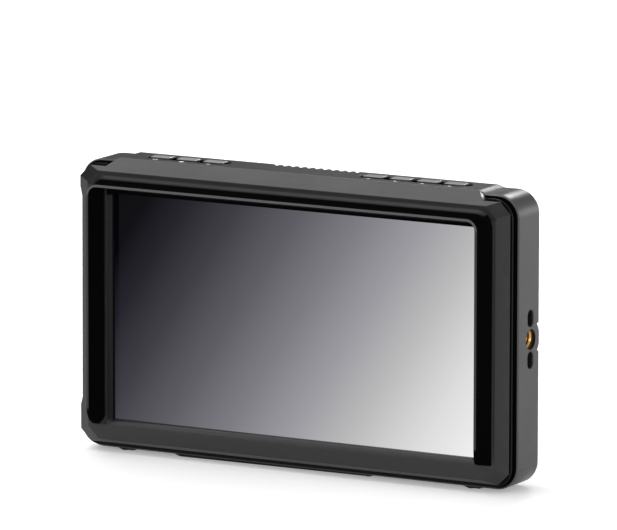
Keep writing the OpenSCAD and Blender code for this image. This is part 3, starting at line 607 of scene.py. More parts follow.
@dataclass(frozen=True)
class BareMetal(Finish):
    """Turned, plated or rolled metal with fine tool lines across one axis."""

    name: str
    colour: Colour
    roughness: float = 0.28
    lines_mm: float = 0.08
    line_depth: float = 0.004
    line_rough: Range = (-0.06, 0.08)
    axis: int = 0
    other_axes: float = 40.0
    stain_scale: float = 160.0
    stain_range: Range = (0.35, 0.7)
    stain: float = 0.6
    stain_gain: float = 0.72
    haze_range: Range = (0.4, 0.7)
    haze_rough: float = 0.08

    def build(self) -> Surface:
        """Makes the material.

        Returns:
            Its graph.
        """
        graph = Surface(self.label)
        stretch = [self.other_axes] * 3
        stretch[self.axis] = 1.0 / (self.lines_mm * MM)
        vector = graph.node("ShaderNodeMapping", {}, {"Vector": graph.place(), "Scale": tuple(stretch)})
        lines = graph.node("ShaderNodeTexNoise", {}, {"Vector": vector, "Scale": 1.0, "Detail": 3.0})
        cloud = graph.noise(self.stain_scale)
        dark = tuple(c * self.stain_gain for c in self.colour)
        haze = cloud.ramp(*self.haze_range, 0.0, self.haze_rough)
        graph.set(
            Base_Color=graph.mix(cloud.ramp(*self.stain_range) * self.stain, self.colour, dark),
            Roughness=lines.ramp(*CORE, *self.line_rough) + haze + self.roughness,
            Metallic=1.0,
            Normal=graph.bump(lines, self.line_depth),
        )
        return graph


@dataclass(frozen=True)
class DeepBrass(BareMetal):
    """Brass of a threaded insert, with painted shade that darkens its bore as it goes in."""

    mouth: float = SIDE_MOUTH[0]
    reach_mm: Range = (0.2, 3.2)
    # Painted shade far down the bore
    bore_shade_colour: Colour = (0.045, 0.016, 0.007)

    def build(self) -> Surface:
        """Makes the material.

        Returns:
            Its graph.
        """
        graph = super().build()
        along = graph.design("XYZ"[self.axis])
        # The side insert goes in against its axis, the bottom one along it
        inward = self.mouth - along if self.axis == 0 else along - self.mouth
        # Painted shade grows from the mouth inward
        bore_shade = inward.ramp(*self.reach_mm)
        graph.set(Base_Color=graph.mix(bore_shade, graph.base_colour(), self.bore_shade_colour))
        return graph


@dataclass(frozen=True)
class BoardLacquer(Finish):
    """Solder mask over copper tracks, as on a circuit board."""

    name: str
    colour: Colour
    roughness: float = 0.34
    uneven: float = 0.08
    uneven_scale: float = 300.0
    track_scale: float = 420.0
    track_random: float = 0.6
    track_range: Range = (0.46, 0.5)
    track_gain: float = 1.5
    track_lift: float = 0.01
    track_depth: float = 0.03
    coat: float = 0.4

    def build(self) -> Surface:
        """Makes the material.

        Returns:
            Its graph.
        """
        graph = Surface(self.label)
        inputs = {"Vector": graph.place(), "Scale": self.track_scale, "Randomness": self.track_random}
        settings = {"distance": "CHEBYCHEV", "feature": "F1"}
        tracks = graph.node("ShaderNodeTexVoronoi", settings, inputs).ramp(*self.track_range)
        light = tuple(c * self.track_gain + self.track_lift for c in self.colour)
        graph.set(
            Base_Color=graph.mix(tracks, self.colour, light),
            Roughness=self.roughness + graph.noise(self.uneven_scale).ramp(*CORE, 0.0, self.uneven),
            Normal=graph.bump(tracks, self.track_depth),
            Coat_Weight=self.coat,
        )
        return graph


def light_of(grey: float) -> float:
    """Returns the light of a grey, from 0 to 1, by the curve that standard displays follow."""
    return ((grey + 0.055) / 1.055) ** 2.4


@dataclass(frozen=True)
class ReflectionGlowScreen(Finish):
    """Cover glass over a panel whose glow is a painted reflection: a plain slanting grey wash, lighter to
    the lower right.
    """

    name: str
    middle: Point
    half: tuple[float, float]
    gloss: float = 0.04
    smear: Range = (0.05, 0.08)
    smear_scale: float = 60.0
    glass_colour: Colour = (0.001, 0.001, 0.001)
    # Light that the glass itself adds
    veil: float = 0.006
    # The grey of the painted reflection in the middle, and how much it rises to the right edge and falls
    # to the top
    grey: float = 0.495
    rise_right: float = 0.351
    fall_up: float = 0.1334
    levels: tuple[float, ...] = (0.0, 0.08, 0.16, 0.26, 0.38, 0.5, 0.62, 0.74, 0.87)
    brightest: float = 0.955
    # A cool tint comes in over the darkest greys and goes out again in the bright half
    tint: float = 0.024
    tint_fade: float = 0.15
    tint_end: float = 0.75
    tint_shares: Colour = (-0.2, -0.4, 0.8)

    def build(self) -> Surface:
        """Makes the material.

        Returns:
            Its graph.
        """
        graph = Surface(self.label)
        x = (graph.axis("X") - self.middle[0]) / self.half[0]
        z = (graph.axis("Z") - self.middle[2]) / self.half[1]
        # A painted reflection: a slanting grey wash that the panel gives off as glow
        reflection_wash = x * self.rise_right - z * self.fall_up + self.grey
        stops = [(level, self.shown(level)) for level in self.levels]
        stops.append((1.0, self.shown(self.brightest)))
        graph.set(
            Base_Color=self.glass_colour,
            Roughness=graph.noise(self.smear_scale).ramp(*CORE, *self.smear),
            Emission_Color=graph.node("ShaderNodeValToRGB", {"stops": stops}, {0: reflection_wash.clamped()}),
            Emission_Strength=1.0,
            Specular_IOR_Level=self.gloss,
        )
        return graph

    def shown(self, level: float) -> Colour:
        """Returns the glow for a grey of the painted reflection, less what the glass itself adds.

        Args:
            level: The grey as it looks, from 0 to 1.

        Returns:
            The light to give off.
        """
        fade_out = max(0.0, min(1.0, (self.tint_end - level) / self.tint_fade))
        cool = self.tint * min(1.0, level / self.tint_fade) * fade_out
        return tuple(max(0.0, light_of(level + cool * share) - self.veil) for share in self.tint_shares)


class Finishes(Enum):
    """The finishes of the casing and of what it holds, by the record's material slot."""

    CASING = MouldedPlastic("casing_black", (0.014, 0.014, 0.0143), 0.36, specular=0.36)
    # The bezel, with painted shade and a painted highlight
    HOOD = HoodShadePaintedPlastic("casing_black_hood", (0.014, 0.014, 0.0143), 0.36, specular=0.36)
    # The rear shell, with painted shade in its groove and a painted highlight on its front edge
    SHELL = ShadePaintedPlastic("casing_black_shell", (0.014, 0.014, 0.0143), 0.36, specular=0.36)
    # The middle frame is black plastic; its black, darker and with less sheen than the casing's, is partly
    # painted shade of the groove it shows in
    FRAME = MouldedPlastic("frame_black", (0.003, 0.003, 0.0032), 0.55, specular=0.1)
    PLATE = MouldedPlastic(
        "plate_black", (0.017, 0.017, 0.0175), 0.46, grain_mm=0.5, grain_depth=0.01, specular=0.36,
    )
    TRAY = MouldedPlastic("tray_black", (0.003, 0.003, 0.003), 0.45)
    JACK = MouldedPlastic("jack_black", (0.007, 0.007, 0.0075), 0.25, grain_depth=0.002)
    BUTTON = MouldedPlastic("button_grey", (0.045, 0.045, 0.047), 0.38)
    KEY = CapPlastic(
        "key_grey", (0.29, 0.29, 0.295), 0.2, grain_mm=0.2, grain_depth=0.002, rubbed=0.1,
        top=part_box("key_left_1")[1][2],
    )
    CELL = MouldedPlastic("lcd_cell", (0.03, 0.03, 0.036), 0.12, grain_depth=0.001)
    DIFFUSER = MouldedPlastic("diffuser_white", (0.78, 0.78, 0.76), 0.7)
    ACRYLIC = MouldedPlastic("acrylic_clear", (0.68, 0.76, 0.8), 0.12, grain_depth=0.001)
    LED = MouldedPlastic("led_white", (0.82, 0.8, 0.66), 0.4)
    SHEET = BareMetal("sheet_steel", (0.48, 0.48, 0.49), 0.34)
    BOARD = BoardLacquer("board_green", (0.012, 0.09, 0.042))
    CHIP = MouldedPlastic("chip_black", (0.011, 0.011, 0.012), 0.5)
    ALUMINIUM = BareMetal("aluminium_plain", (0.6, 0.61, 0.62), 0.36, axis=2)
    RIBBON = MouldedPlastic("ribbon_amber", (0.42, 0.17, 0.03), 0.3)
    NICKEL = BareMetal("socket_nickel", (0.58, 0.58, 0.59), 0.24)
    BRASS = BareMetal("brass", (0.5, 0.3, 0.11), 0.26, lines_mm=0.12)
    SIDE_THREAD = DeepBrass("brass_side", (0.5, 0.3, 0.11), 0.26, lines_mm=0.12)
    LOW_THREAD = DeepBrass(
        "brass_low", (0.5, 0.3, 0.11), 0.26, lines_mm=0.12, axis=2, mouth=LOW_MOUTH[2],
    )
    SCREW = BareMetal("screw_steel", (0.5, 0.5, 0.51), 0.3, axis=1)
    BLACK_SCREW = BareMetal("screw_black", (0.06, 0.06, 0.062), 0.35, axis=1)

    @classmethod
    def of_slot(cls, slot: str) -> Finish:
        """Returns the finish of a material slot."""
        return next(member.value for member in cls if member.value.name == slot)


def add_object(name: str, bm: bmesh.types.BMesh, material: bpy.types.Material) -> bpy.types.Object:
    """Makes an object of a bmesh.

    Args:
        name: The object's name.
        bm: Its mesh, freed here.
        material: Its material.

    Returns:
        The object.
    """
    mesh = bpy.data.meshes.new(name)
    bm.to_mesh(mesh)
    bm.free()
    mesh.materials.append(material)
    made = bpy.data.objects.new(name, mesh)
    bpy.context.scene.collection.objects.link(made)
    return made


def add_piece(name: str, bm: bmesh.types.BMesh, finish: Finish) -> bpy.types.Object:
    """Makes a piece of a bmesh, dressed and smoothly shaded.

    Args:
        name: The piece's name.
        bm: Its mesh, freed here.
        finish: Its finish.

    Returns:
        The object.
    """
    piece = add_object(name, bm, finish.material())
    piece.data.shade_smooth()
    piece.data.set_sharp_from_angle(angle=SMOOTH_ANGLE)
    return piece


def settle(piece: bpy.types.Object, body: str, slot: str, *nodes: str) -> None:
    """Puts a piece on its body and hides the CAD nodes that it stands for.

    Args:
        piece: The piece.
        body: The body that it rides on.
        slot: The record's material slot; not used.
        nodes: CAD nodes that it stands for.
    """
    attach(piece, body)
    if nodes:
        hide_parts(*nodes)
    log.info("%s: %d faces, on %s", piece.name, len(piece.data.polygons), body)


@dataclass
class SoftEdged:
    """A CAD node's own shape with its sharp outer edges rounded, as a mould leaves them."""

    node: str
    body: str
    slot: str
    round_mm: float
    segments: int = 2
    finish: Finish | None = None
    # How many times its rounding an edge needs on each side, and from any crossing
    room: float = 1.5
    clear: float = 1.2
    # In degrees: what is sharper than the first is rounded, what is flatter than the second is merged
    sharp: float = 14.0
    flat: float = 0.6
    # Faces thinner than this, in metres, are closed up
    sliver: float = 5e-6
    tries: int = 6

    def merged(self) -> bmesh.types.BMesh:
        """Copies the node's mesh without loose seams and needless edges.

        Returns:
            The copy.
        """
        bm = bmesh.new()
        bm.from_mesh(frame["nodes"][self.node].data)
        bmesh.ops.remove_doubles(bm, verts=bm.verts[:], dist=SEAM)
        flat = math.radians(self.flat)
        bmesh.ops.dissolve_limit(bm, angle_limit=flat, verts=bm.verts[:], edges=bm.edges[:])
        bmesh.ops.dissolve_degenerate(bm, dist=self.sliver, edges=bm.edges[:])
        return bm

    def wanted(self, edge: bmesh.types.BMEdge, crossings: Sequence[Vector]) -> bool:
        """Tells whether an edge is to be rounded.

        Args:
            edge: The edge.
            crossings: Points where an earlier try ran into itself.

        Returns:
            Whether it is sharp, has room on both sides and keeps clear of the crossings.
        """
        if len(edge.link_faces) != 2 or not edge.is_convex:
            return False
        if edge.calc_face_angle(0.0) <= math.radians(self.sharp):
            return False
        first, last = (vert.co for vert in edge.verts)
        along = (last - first).normalized()
        for face in edge.link_faces:
            arms = [vert.co - first for vert in face.verts]
            width = max((arm - along * arm.dot(along)).length for arm in arms)
            if width < self.room * self.round_mm * MM:
                return False
        for point in crossings:
            foot, share = intersect_point_line(point, first, last)
            foot = first if share < 0 else last if share > 1 else foot
            if (foot - point).length < self.clear * self.round_mm * MM:
                return False
        return True

    @staticmethod
    def self_crossings(bm: bmesh.types.BMesh) -> list[Vector]:
        """Finds where a mesh runs into itself.

        Args:
            bm: The mesh.

        Returns:
            The middles of faces that cut through another face of it.
        """
        test = bm.copy()
        bmesh.ops.triangulate(test, faces=test.faces[:])
        test.faces.ensure_lookup_table()
        tree = BVHTree.FromBMesh(test, epsilon=0.0)
        found = []
        for i, j in tree.overlap(tree):
            pair = test.faces[i], test.faces[j]
            if i < j and not set(pair[0].verts) & set(pair[1].verts):
                found.append(min(pair, key=lambda face: face.calc_area()).calc_center_median())
        test.free()
        return found

    def mesh(self) -> bmesh.types.BMesh:
        """Rounds the node's convex edges, but for the few that would run into others.

        Returns:
            The rounded mesh.
        """
        crossings: list[Vector] = []
        for turn in range(self.tries):
            bm = self.merged()
            edges = [edge for edge in bm.edges if self.wanted(edge, crossings)]
            bmesh.ops.bevel(
                bm, geom=edges, offset=self.round_mm * MM, offset_type="OFFSET", segments=self.segments,
                profile=0.5, affect="EDGES", clamp_overlap=False, material=-1, miter_outer="ARC",
            )
            found = self.self_crossings(bm)
            if not found or turn == self.tries - 1:
                break
            crossings += found
            bm.free()
        log.info("%s: %d edges rounded, %d crossings left", self.node, len(edges), len(found))
        return bm

    def make(self) -> None:
        """Builds and dresses the piece."""
        piece = add_piece(f"{self.node}_soft", self.mesh(), self.finish or Finishes.of_slot(self.slot))
        weights = piece.modifiers.new("even_shade", "WEIGHTED_NORMAL")
        weights.keep_sharp = True
        settle(piece, self.body, self.slot, self.node)


@dataclass
class Casing:
    """Bezel, middle frame, rear shell, key trays and battery plate."""

    rounds: dict[str, float] = field(default_factory=lambda: {
        "front_bezel": 0.2, "mid_frame": 0.12, "rear_shell": 0.45, "battery_plate": 0.3,
        "key_tray_left": 0.1, "key_tray_right": 0.1,
    })
    special: dict[str, dict] = field(default_factory=lambda: {
        "front_bezel": {"finish": Finishes.HOOD.value},
        "rear_shell": {"finish": Finishes.SHELL.value, "room": 3.0},
    })

    def make(self) -> None:
        """Builds all the casing's pieces."""
        slots = {part["node"]: part["material_slot"] for part in frame["record"]["subparts"]}
        for node, radius in self.rounds.items():
            SoftEdged(node, CASING, slots[node], radius, **self.special.get(node, {})).make()


@dataclass
class Buttons:
    """The seven key caps and the battery's release button, with rounded rims."""

    key_mm: float = 0.35
    release_mm: float = 0.4
    segments: int = 3

    def make(self) -> None:
        """Builds every button on its own body, which has its node's name."""
        for node in sorted(frame["nodes"]):
            if node.startswith(("key_left_", "key_right_")):
                SoftEdged(node, node, "key_grey", self.key_mm, self.segments).make()
        release = "release_button"
        SoftEdged(release, release, "button_grey", self.release_mm, self.segments).make()


@dataclass
class InsertThread:
    """The thread inside a brass insert: a pointed ridge wound along its bore."""

    name: str
    mouth: Vector
    inward: Vector
    finish: Finish
    bore_r: float = 3.17
    ridge: float = 0.55
    pitch: float = 1.27
    # Half the ridge's foot, as a share of the pitch
    foot: float = 0.42
    start: float = 0.1
    turns: float = 4.25
    steps: int = 136

    def mesh(self) -> bmesh.types.BMesh:
        """Winds the ridge along +Z and lays it in its bore.

        Returns:
            The ridge's mesh.
        """
        bm = bmesh.new()
        half = self.pitch * self.foot
        corners = [(self.bore_r, -half), (self.bore_r - self.ridge, 0.0), (self.bore_r, half)]
        verts = [bm.verts.new(Vector((r, 0.0, z)) * MM) for r, z in corners]
        face = bm.faces.new(verts)
        rise = self.pitch * self.turns / self.steps * MM
        bmesh.ops.spin(
            bm, geom=[face, *face.edges, *face.verts], cent=(0, 0, 0), axis=(0, 0, 1),
            dvec=(0, 0, rise), angle=self.turns * math.tau, steps=self.steps, use_merge=False,
        )
        bmesh.ops.recalc_face_normals(bm, faces=bm.faces[:])
        turn = Vector((0, 0, 1)).rotation_difference(self.inward).to_matrix().to_4x4()
        start = self.mouth + self.inward * (half + self.start) * MM
        bmesh.ops.transform(bm, matrix=Matrix.Translation(start) @ turn, verts=bm.verts[:])
        return bm

    def make(self) -> None:
        """Builds and dresses the piece."""
        settle(add_piece(self.name, self.mesh(), self.finish), CASING, "brass")


@dataclass
class ReleaseSpring:
    """The coil spring under the release button."""

    node: str = "release_spring"
    joint: str = "release_press"
    travel: float = 2.0
    wire_r: float = 0.18
    turns: int = 4
    steps: int = 128
    sides: int = 12

    def mesh(self, low: Vector, high: Vector) -> bmesh.types.BMesh:
        """Winds the wire, from the cup's floor to the button.

        Args:
            low: The lowest corner of the room that it fills.
            high: Its highest corner.

        Returns:
            The spring's mesh.
        """
        wire = self.wire_r * MM
        coil = (high.x - low.x) / 2 - wire
        bm = bmesh.new()
        place = Matrix.Translation((coil, 0.0, 0.0)) @ Matrix.Rotation(math.radians(90.0), 4, "X")
        bmesh.ops.create_circle(bm, cap_ends=True, segments=self.sides, radius=wire, matrix=place)
        rise = (high.y - low.y - 2 * wire) / self.steps
        bmesh.ops.spin(
            bm, geom=[*bm.faces, *bm.edges, *bm.verts], cent=(0, 0, 0), axis=(0, 0, 1),
            dvec=(0, 0, rise), angle=self.turns * math.tau, steps=self.steps, use_merge=False,
        )
        bmesh.ops.recalc_face_normals(bm, faces=bm.faces[:])
        lean = Matrix.Rotation(math.radians(-90.0), 4, "X")
        start = Matrix.Translation(((low.x + high.x) / 2, low.y + wire, (low.z + high.z) / 2))
        bmesh.ops.transform(bm, matrix=start @ lean, verts=bm.verts[:])
        return bm

    def make(self) -> None:
        """Builds and dresses the piece, standing on the cup's floor."""
        low, high = (Vector(corner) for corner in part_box(self.node))
        piece = add_piece("coil_spring", self.mesh(low, high), Finishes.SCREW.value)
        settle(piece, CASING, "screw_steel", self.node)
        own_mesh(piece)


@dataclass
class Turned:
    """A ring turned about an axis across the left side, such as a jack's collar."""

    name: str
    mouth: Vector
    inner_r: float
    outer_r: float
    depth: float
    slot: str = "socket_nickel"
    proud: float = 0.12
    chamfer: float = 0.1
    steps: int = 48
    seam: float = 1e-7

    def mesh(self) -> bmesh.types.BMesh:
        """Turns the ring about the X axis through the mouth.

        Returns:
            The ring's mesh.
        """
        bm = bmesh.new()
        corners = [
            (-self.proud, self.inner_r + self.chamfer), (-self.proud, self.outer_r - self.chamfer),
            (self.chamfer - self.proud, self.outer_r), (self.depth, self.outer_r),
            (self.depth, self.inner_r), (self.chamfer - self.proud, self.inner_r),
        ]
        face = bm.faces.new([bm.verts.new(Vector((x, 0.0, r)) * MM) for x, r in corners])
        bmesh.ops.spin(
            bm, geom=[face, *face.edges, *face.verts], cent=(0, 0, 0), axis=(1, 0, 0),
            angle=math.tau, steps=self.steps, use_merge=True,
        )
        # The section that was spun stays behind inside the ring
        inside = [face for face in bm.faces if len(face.verts) == len(corners)]
        bmesh.ops.delete(bm, geom=inside, context="FACES_ONLY")
        bmesh.ops.remove_doubles(bm, verts=bm.verts[:], dist=self.seam)
        bmesh.ops.recalc_face_normals(bm, faces=bm.faces[:])
        bmesh.ops.translate(bm, vec=self.mouth, verts=bm.verts[:])
        return bm

    def make(self) -> None:
        """Builds and dresses the piece."""
        settle(add_piece(self.name, self.mesh(), Finishes.of_slot(self.slot)), CASING, self.slot)


def add_block(bm: bmesh.types.BMesh, low: Vector, high: Vector, round_mm: float) -> None:
    """Adds a block with rounded edges.

    Args:
        bm: The mesh to add it to.
        low: Its lowest corner.
        high: Its highest corner.
        round_mm: The radius of its edges.
    """
    matrix = Matrix.Translation((low + high) / 2) @ Matrix.Diagonal((*(high - low), 1.0))
    made = bmesh.ops.create_cube(bm, size=1.0, matrix=matrix)
    edges = list({edge for vert in made["verts"] for edge in vert.link_edges})
    bmesh.ops.bevel(
        bm, geom=edges, offset=round_mm * MM, offset_type="OFFSET", segments=2, profile=0.5,
        affect="EDGES", clamp_overlap=True, material=-1,
    )


@dataclass
class VideoPort:
    """What shows inside a video socket: its black tongue with a row of plated contacts on each side."""

    name: str
    z: float
    middle_y: float = 15.6
    back: float = 10.0
    # The tongue's distance from the mouth, half its thickness and half its width
    tongue: tuple[float, float, float] = (1.9, 0.78, 6.02)
    tongue_round: float = 0.2
    contacts: int = 10
    pitch: float = 1.0
    # A contact's width and length
    strip: tuple[float, float] = (0.42, 6.5)
    setback: float = 0.5
    sunk: float = 0.05
    proud: float = 0.09
    strip_round: float = 0.04

    def point(self, x: float, y: float, z: float) -> Vector:
        """Returns a point given from the middle of the socket's mouth."""
        return at(LEFT_X + x, self.middle_y + y, self.z + z)

    def make(self) -> None:
        """Builds the tongue and its contacts."""
        front, thick, wide = self.tongue
        bm = bmesh.new()
        low, high = self.point(front, -thick, -wide), self.point(self.back, thick, wide)
        add_block(bm, low, high, self.tongue_round)
        settle(add_piece(f"{self.name}_tongue", bm, Finishes.JACK.value), CASING, "jack_black")
        bm = bmesh.new()
        width, length = self.strip
        start = front + self.setback
        for side, count in ((-1, self.contacts), (1, self.contacts - 1)):
            below, above = sorted((side * (thick - self.sunk), side * (thick + self.proud)))
            for i in range(count):
                z = (i - (count - 1) / 2) * self.pitch
                low = self.point(start, below, z - width / 2)
                high = self.point(start + length, above, z + width / 2)
                add_block(bm, low, high, self.strip_round)
        settle(add_piece(f"{self.name}_contacts", bm, Finishes.BRASS.value), CASING, "brass")


@dataclass(frozen=True)
class Sign:
    """The outline of a printed mark, which has equal sides until it is turned and stretched."""

    sides: int = 24
    turn: float = 0.0
    stretch: tuple[float, float] = (1.0, 1.0)
    hollow: bool = False


class Mark(Enum):
    """Plain marks printed in front of the keys."""

    DOT = Sign()
    RING = Sign(hollow=True)
    BAR = Sign(4, 45.0, (1.3, 0.4))
    UP = Sign(3)
    DOWN = Sign(3, 180.0)
    LEFT = Sign(3, 90.0)
    RIGHT = Sign(3, -90.0)


@dataclass
class KeyMarks:
    """White printed marks in front of the keys, one plain sign each."""

    marks: dict[str, Mark] = field(default_factory=lambda: {
        "key_left_1": Mark.RING, "key_left_2": Mark.DOT, "key_left_3": Mark.BAR,
        "key_right_1": Mark.LEFT, "key_right_2": Mark.DOWN,
        "key_right_3": Mark.UP, "key_right_4": Mark.RIGHT,
    })
    line_y: float = 7.75
    top_z: float = 47.799
    radius: float = 0.8
    line: float = 0.34
    ink: float = 0.02

    def shape(self, bm: bmesh.types.BMesh, sign: Sign, middle: Vector) -> None:
        """Adds one mark, flat on the top.

        Args:
            bm: The mesh to add it to.
            sign: Its outline.
            middle: Its middle.
        """
        stretch = Matrix.Diagonal((*sign.stretch, 1.0, 1.0))
        matrix = Matrix.Translation(middle) @ stretch @ Matrix.Rotation(math.radians(sign.turn), 4, "Z")
        radii = (self.radius, self.radius - self.line) if sign.hollow else (self.radius,)
        rounds = [
            bmesh.ops.create_circle(
                bm, cap_ends=not sign.hollow, segments=sign.sides, radius=radius * MM, matrix=matrix,
            )["verts"]
            for radius in radii
        ]
        if sign.hollow:
            edges = list({edge for verts in rounds for vert in verts for edge in vert.link_edges})
            faces = bmesh.ops.bridge_loops(bm, edges=edges)["faces"]
        else:
            faces = list({face for vert in rounds[0] for face in vert.link_faces})
        bmesh.ops.recalc_face_normals(bm, faces=faces)
        raised = bmesh.ops.extrude_face_region(bm, geom=faces)
        lifted = [item for item in raised["geom"] if isinstance(item, bmesh.types.BMVert)]
        bmesh.ops.translate(bm, vec=Vector((0, 0, self.ink * 2)) * MM, verts=lifted)

    def make(self) -> None:
        """Builds and dresses all the marks as one piece."""
        bm = bmesh.new()
        for node, mark in self.marks.items():
            low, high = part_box(node)
            middle = at(0.0, self.line_y, self.top_z - self.ink)
            middle.x = (low[0] + high[0]) / 2
            self.shape(bm, mark.value, middle)
        bmesh.ops.recalc_face_normals(bm, faces=bm.faces[:])
        settle(add_piece("key_marks", bm, Finishes.DIFFUSER.value), CASING, "diffuser_white")


@dataclass
class Screen:
    """The cover glass and the painted reflection that glows behind it."""

    middle: Vector = field(default_factory=lambda: at(0, 3.1, -0.4))
    half_w: float = 65.8
    half_h: float = 37.0

    def make(self) -> None:
        """Dresses the glass."""
        finish = ReflectionGlowScreen("screen_glass", tuple(self.middle), (self.half_w * MM, self.half_h * MM))
        glass = frame["nodes"]["screen_glass"]
        glass.data.materials.clear()
        glass.data.materials.append(finish.material())


@dataclass
class CarriedNodes:
    """CAD nodes whose shape is right and which only get their finish."""

    special: dict[str, Finish] = field(default_factory=lambda: {
        "side_thread_insert": Finishes.SIDE_THREAD.value,
        "bottom_thread_insert": Finishes.LOW_THREAD.value,
    })

    def make(self) -> None:
        """Dresses every node that is still shown."""
        for part in frame["record"]["subparts"]:
            node = frame["nodes"][part["node"]]
            if node.hide_render or part["node"] == "screen_glass":
                continue
            finish = self.special.get(part["node"]) or Finishes.of_slot(part["material_slot"])
            node.data.materials.clear()
            node.data.materials.append(finish.material())


@dataclass(frozen=True)
class Panel:
    """A rectangle, in metres, that lights the part or that only its reflections show."""

    name: str
    place: Point
    aim: Point
    size: tuple[float, float]
    # A lamp's power in watts, or how light a card looks, from 0 to 1
    level: float


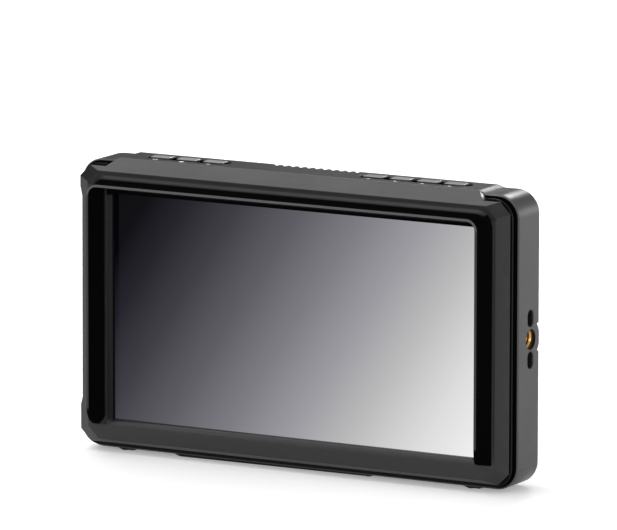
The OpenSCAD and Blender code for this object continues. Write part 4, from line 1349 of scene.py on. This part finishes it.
@dataclass
class Studio:
    """White floor, soft lamps and the camera at the photograph's angle."""

    turn: float = 28.902
    rise: float = 9.956
    roll: float = -0.089
    distance_mm: float = 2591.13
    aim_right: float = 6.2247
    aim_up: float = 18.8397
    focal_px: float = 8132.0
    width_px: float = 617.0
    sensor_mm: float = 36.0
    clip: Range = (0.1, 50.0)
    ambient: float = 0.55
    floor_half: float = 6.0
    floor_colour: Colour = (0.86, 0.86, 0.86)
    floor_rough: float = 0.75
    floor_glow: Colour = (0.3, 0.3, 0.3)
    lamps: tuple[Panel, ...] = (
        Panel("top_box", (-0.5, -0.15, 1.3), (0, 0, 0.05), (1.2, 0.9), 8.5),
        Panel("right_box", (0.85, 1.2, 0.2), (0, 0, 0.05), (0.9, 0.4), 3.2),
        Panel("front_fill", (-0.75, -1.65, 1.1), (0, 0, 0.05), (1.2, 1.2), 6.5),
        Panel("back_strip", (-0.62, 0.8, 0.78), (0, 0, 0.08), (0.9, 0.14), 1.8),
        Panel("edge_strip", (1.1, -0.6, 0.14), (0, 0, 0.06), (0.2, 0.26), 1.8),
        Panel("shoulder_box", (-0.16, 0.86, 0.57), (0, 0, 0.1), (0.24, 0.18), 2.8),
    )
    cards: tuple[Panel, ...] = (
        Panel("back_card", (-0.29, 0.88, 0.42), (0, 0, 0.1), (1.16, 0.8), 0.17),
        Panel("left_card", (-0.98, 0.16, 0.42), (0, 0.16, 0.1), (1.7, 0.74), 0.0),
        Panel("facet_card", (0.36, -0.95, 0.72), (0, 0, 0.1), (0.6, 0.6), 0.0),
    )

    def axes(self) -> tuple[Vector, Vector, Vector]:
        """Works out the camera's directions before its roll.

        Returns:
            Its right, up and backward directions.
        """
        turn, rise = math.radians(self.turn), math.radians(self.rise)
        right = Vector((math.cos(turn), math.sin(turn), 0.0))
        back = Vector((math.sin(turn) * math.cos(rise), -math.cos(turn) * math.cos(rise), math.sin(rise)))
        return right, back.cross(right), back

    def camera(self) -> None:
        """Sets up the camera."""
        right, up, back = self.axes()
        roll = math.radians(self.roll)
        rolled_right = right * math.cos(roll) - up * math.sin(roll)
        rolled_up = right * math.sin(roll) + up * math.cos(roll)
        place = (right * self.aim_right + up * self.aim_up + back * self.distance_mm) * MM + FACE_TO_ROW
        lens = bpy.data.cameras.new("camera")
        lens.sensor_fit = "HORIZONTAL"
        lens.sensor_width = self.sensor_mm
        lens.lens = self.focal_px * self.sensor_mm / self.width_px
        lens.clip_start, lens.clip_end = self.clip
        camera = bpy.data.objects.new("camera", lens)
        matrix = Matrix((rolled_right, rolled_up, back)).transposed().to_4x4()
        matrix.translation = place
        camera.matrix_world = matrix
        bpy.context.scene.collection.objects.link(camera)
        bpy.context.scene.camera = camera

    def lamp(self, panel: Panel) -> None:
        """Adds a soft rectangular lamp that the camera doesn't see.

        Args:
            panel: Its place, size and power.
        """
        data = bpy.data.lights.new(panel.name, "AREA")
        data.shape = "RECTANGLE"
        data.size, data.size_y = panel.size
        data.energy = panel.level
        lamp = bpy.data.objects.new(panel.name, data)
        lamp.location = panel.place
        aim = Vector(panel.aim) - Vector(panel.place)
        lamp.rotation_euler = aim.to_track_quat("-Z", "Y").to_euler()
        lamp.visible_camera = False
        bpy.context.scene.collection.objects.link(lamp)

    def card(self, panel: Panel) -> None:
        """Stands up a card that only reflections see, so that the edges of the dark casing show.

        Args:
            panel: Its place, size and how light it looks.
        """
        bm = bmesh.new()
        bmesh.ops.create_grid(bm, x_segments=2, y_segments=2, size=0.5)
        aim = Vector(panel.aim) - Vector(panel.place)
        turn = aim.to_track_quat("Z", "Y").to_matrix().to_4x4()
        matrix = Matrix.Translation(panel.place) @ turn @ Matrix.Diagonal((*panel.size, 1.0, 1.0))
        bmesh.ops.transform(bm, matrix=matrix, verts=bm.verts[:])
        graph = Surface(panel.name)
        glow = (panel.level,) * 3
        graph.set(Base_Color=BLACK, Roughness=0.9, Emission_Color=glow, Emission_Strength=1.0)
        card = add_object(panel.name, bm, graph.material)
        card.visible_camera = card.visible_diffuse = False
        card.visible_transmission = card.visible_shadow = False

    def world(self) -> None:
        """Makes a pale world that shows white to the camera and in reflections."""
        world = bpy.data.worlds.new("studio")
        graph = Graph(world, "ShaderNodeOutputWorld")
        strength = graph.seen().ramp(0.0, 1.0, self.ambient, 1.0)
        graph.show(graph.node("ShaderNodeBackground", {}, {"Color": WHITE, "Strength": strength}))
        bpy.context.scene.world = world

    def floor(self) -> None:
        """Lays the white floor just under the part."""
        bm = bmesh.new()
        bmesh.ops.create_grid(bm, x_segments=8, y_segments=8, size=self.floor_half)
        bmesh.ops.translate(bm, vec=(0, 0, CAD_BOUNDS[0][2]), verts=bm.verts[:])
        graph = Surface("floor_white")
        glow = graph.mix(graph.seen(), BLACK, self.floor_glow)
        graph.set(Base_Color=self.floor_colour, Roughness=self.floor_rough)
        graph.set(Emission_Color=glow, Emission_Strength=1.0)
        add_object("floor", bm, graph.material)

    def make(self) -> None:
        """Sets up camera, world, floor, lamps and cards."""
        bpy.context.scene.view_settings.view_transform = "Standard"
        self.camera()
        self.world()
        self.floor()
        for panel in self.lamps:
            self.lamp(panel)
        for panel in self.cards:
            self.card(panel)


def main() -> None:
    """Builds the looks in order."""
    logging.basicConfig(level=logging.INFO, format="%(name)s: %(message)s")
    Studio().make()
    Casing().make()
    Buttons().make()
    Screen().make()
    left, up = Vector((-1, 0, 0)), Vector((0, 0, 1))
    InsertThread("side_thread_ridge", at(*SIDE_MOUTH), left, Finishes.SIDE_THREAD.value).make()
    InsertThread("bottom_thread_ridge", at(*LOW_MOUTH), up, Finishes.LOW_THREAD.value).make()
    VideoPort("video_in", z=-10.0).make()
    VideoPort("video_out", z=10.0).make()
    phone, power = at(LEFT_X, 15.4, 25.5), at(LEFT_X, 13.4, -24.5)
    Turned("phone_collar", phone, inner_r=1.82, outer_r=2.55, depth=1.2).make()
    Turned("power_sleeve", power, inner_r=2.72, outer_r=3.02, depth=6.0, proud=-0.5).make()
    KeyMarks().make()
    ReleaseSpring().make()
    CarriedNodes().make()


if __name__ == "__main__":
    main()
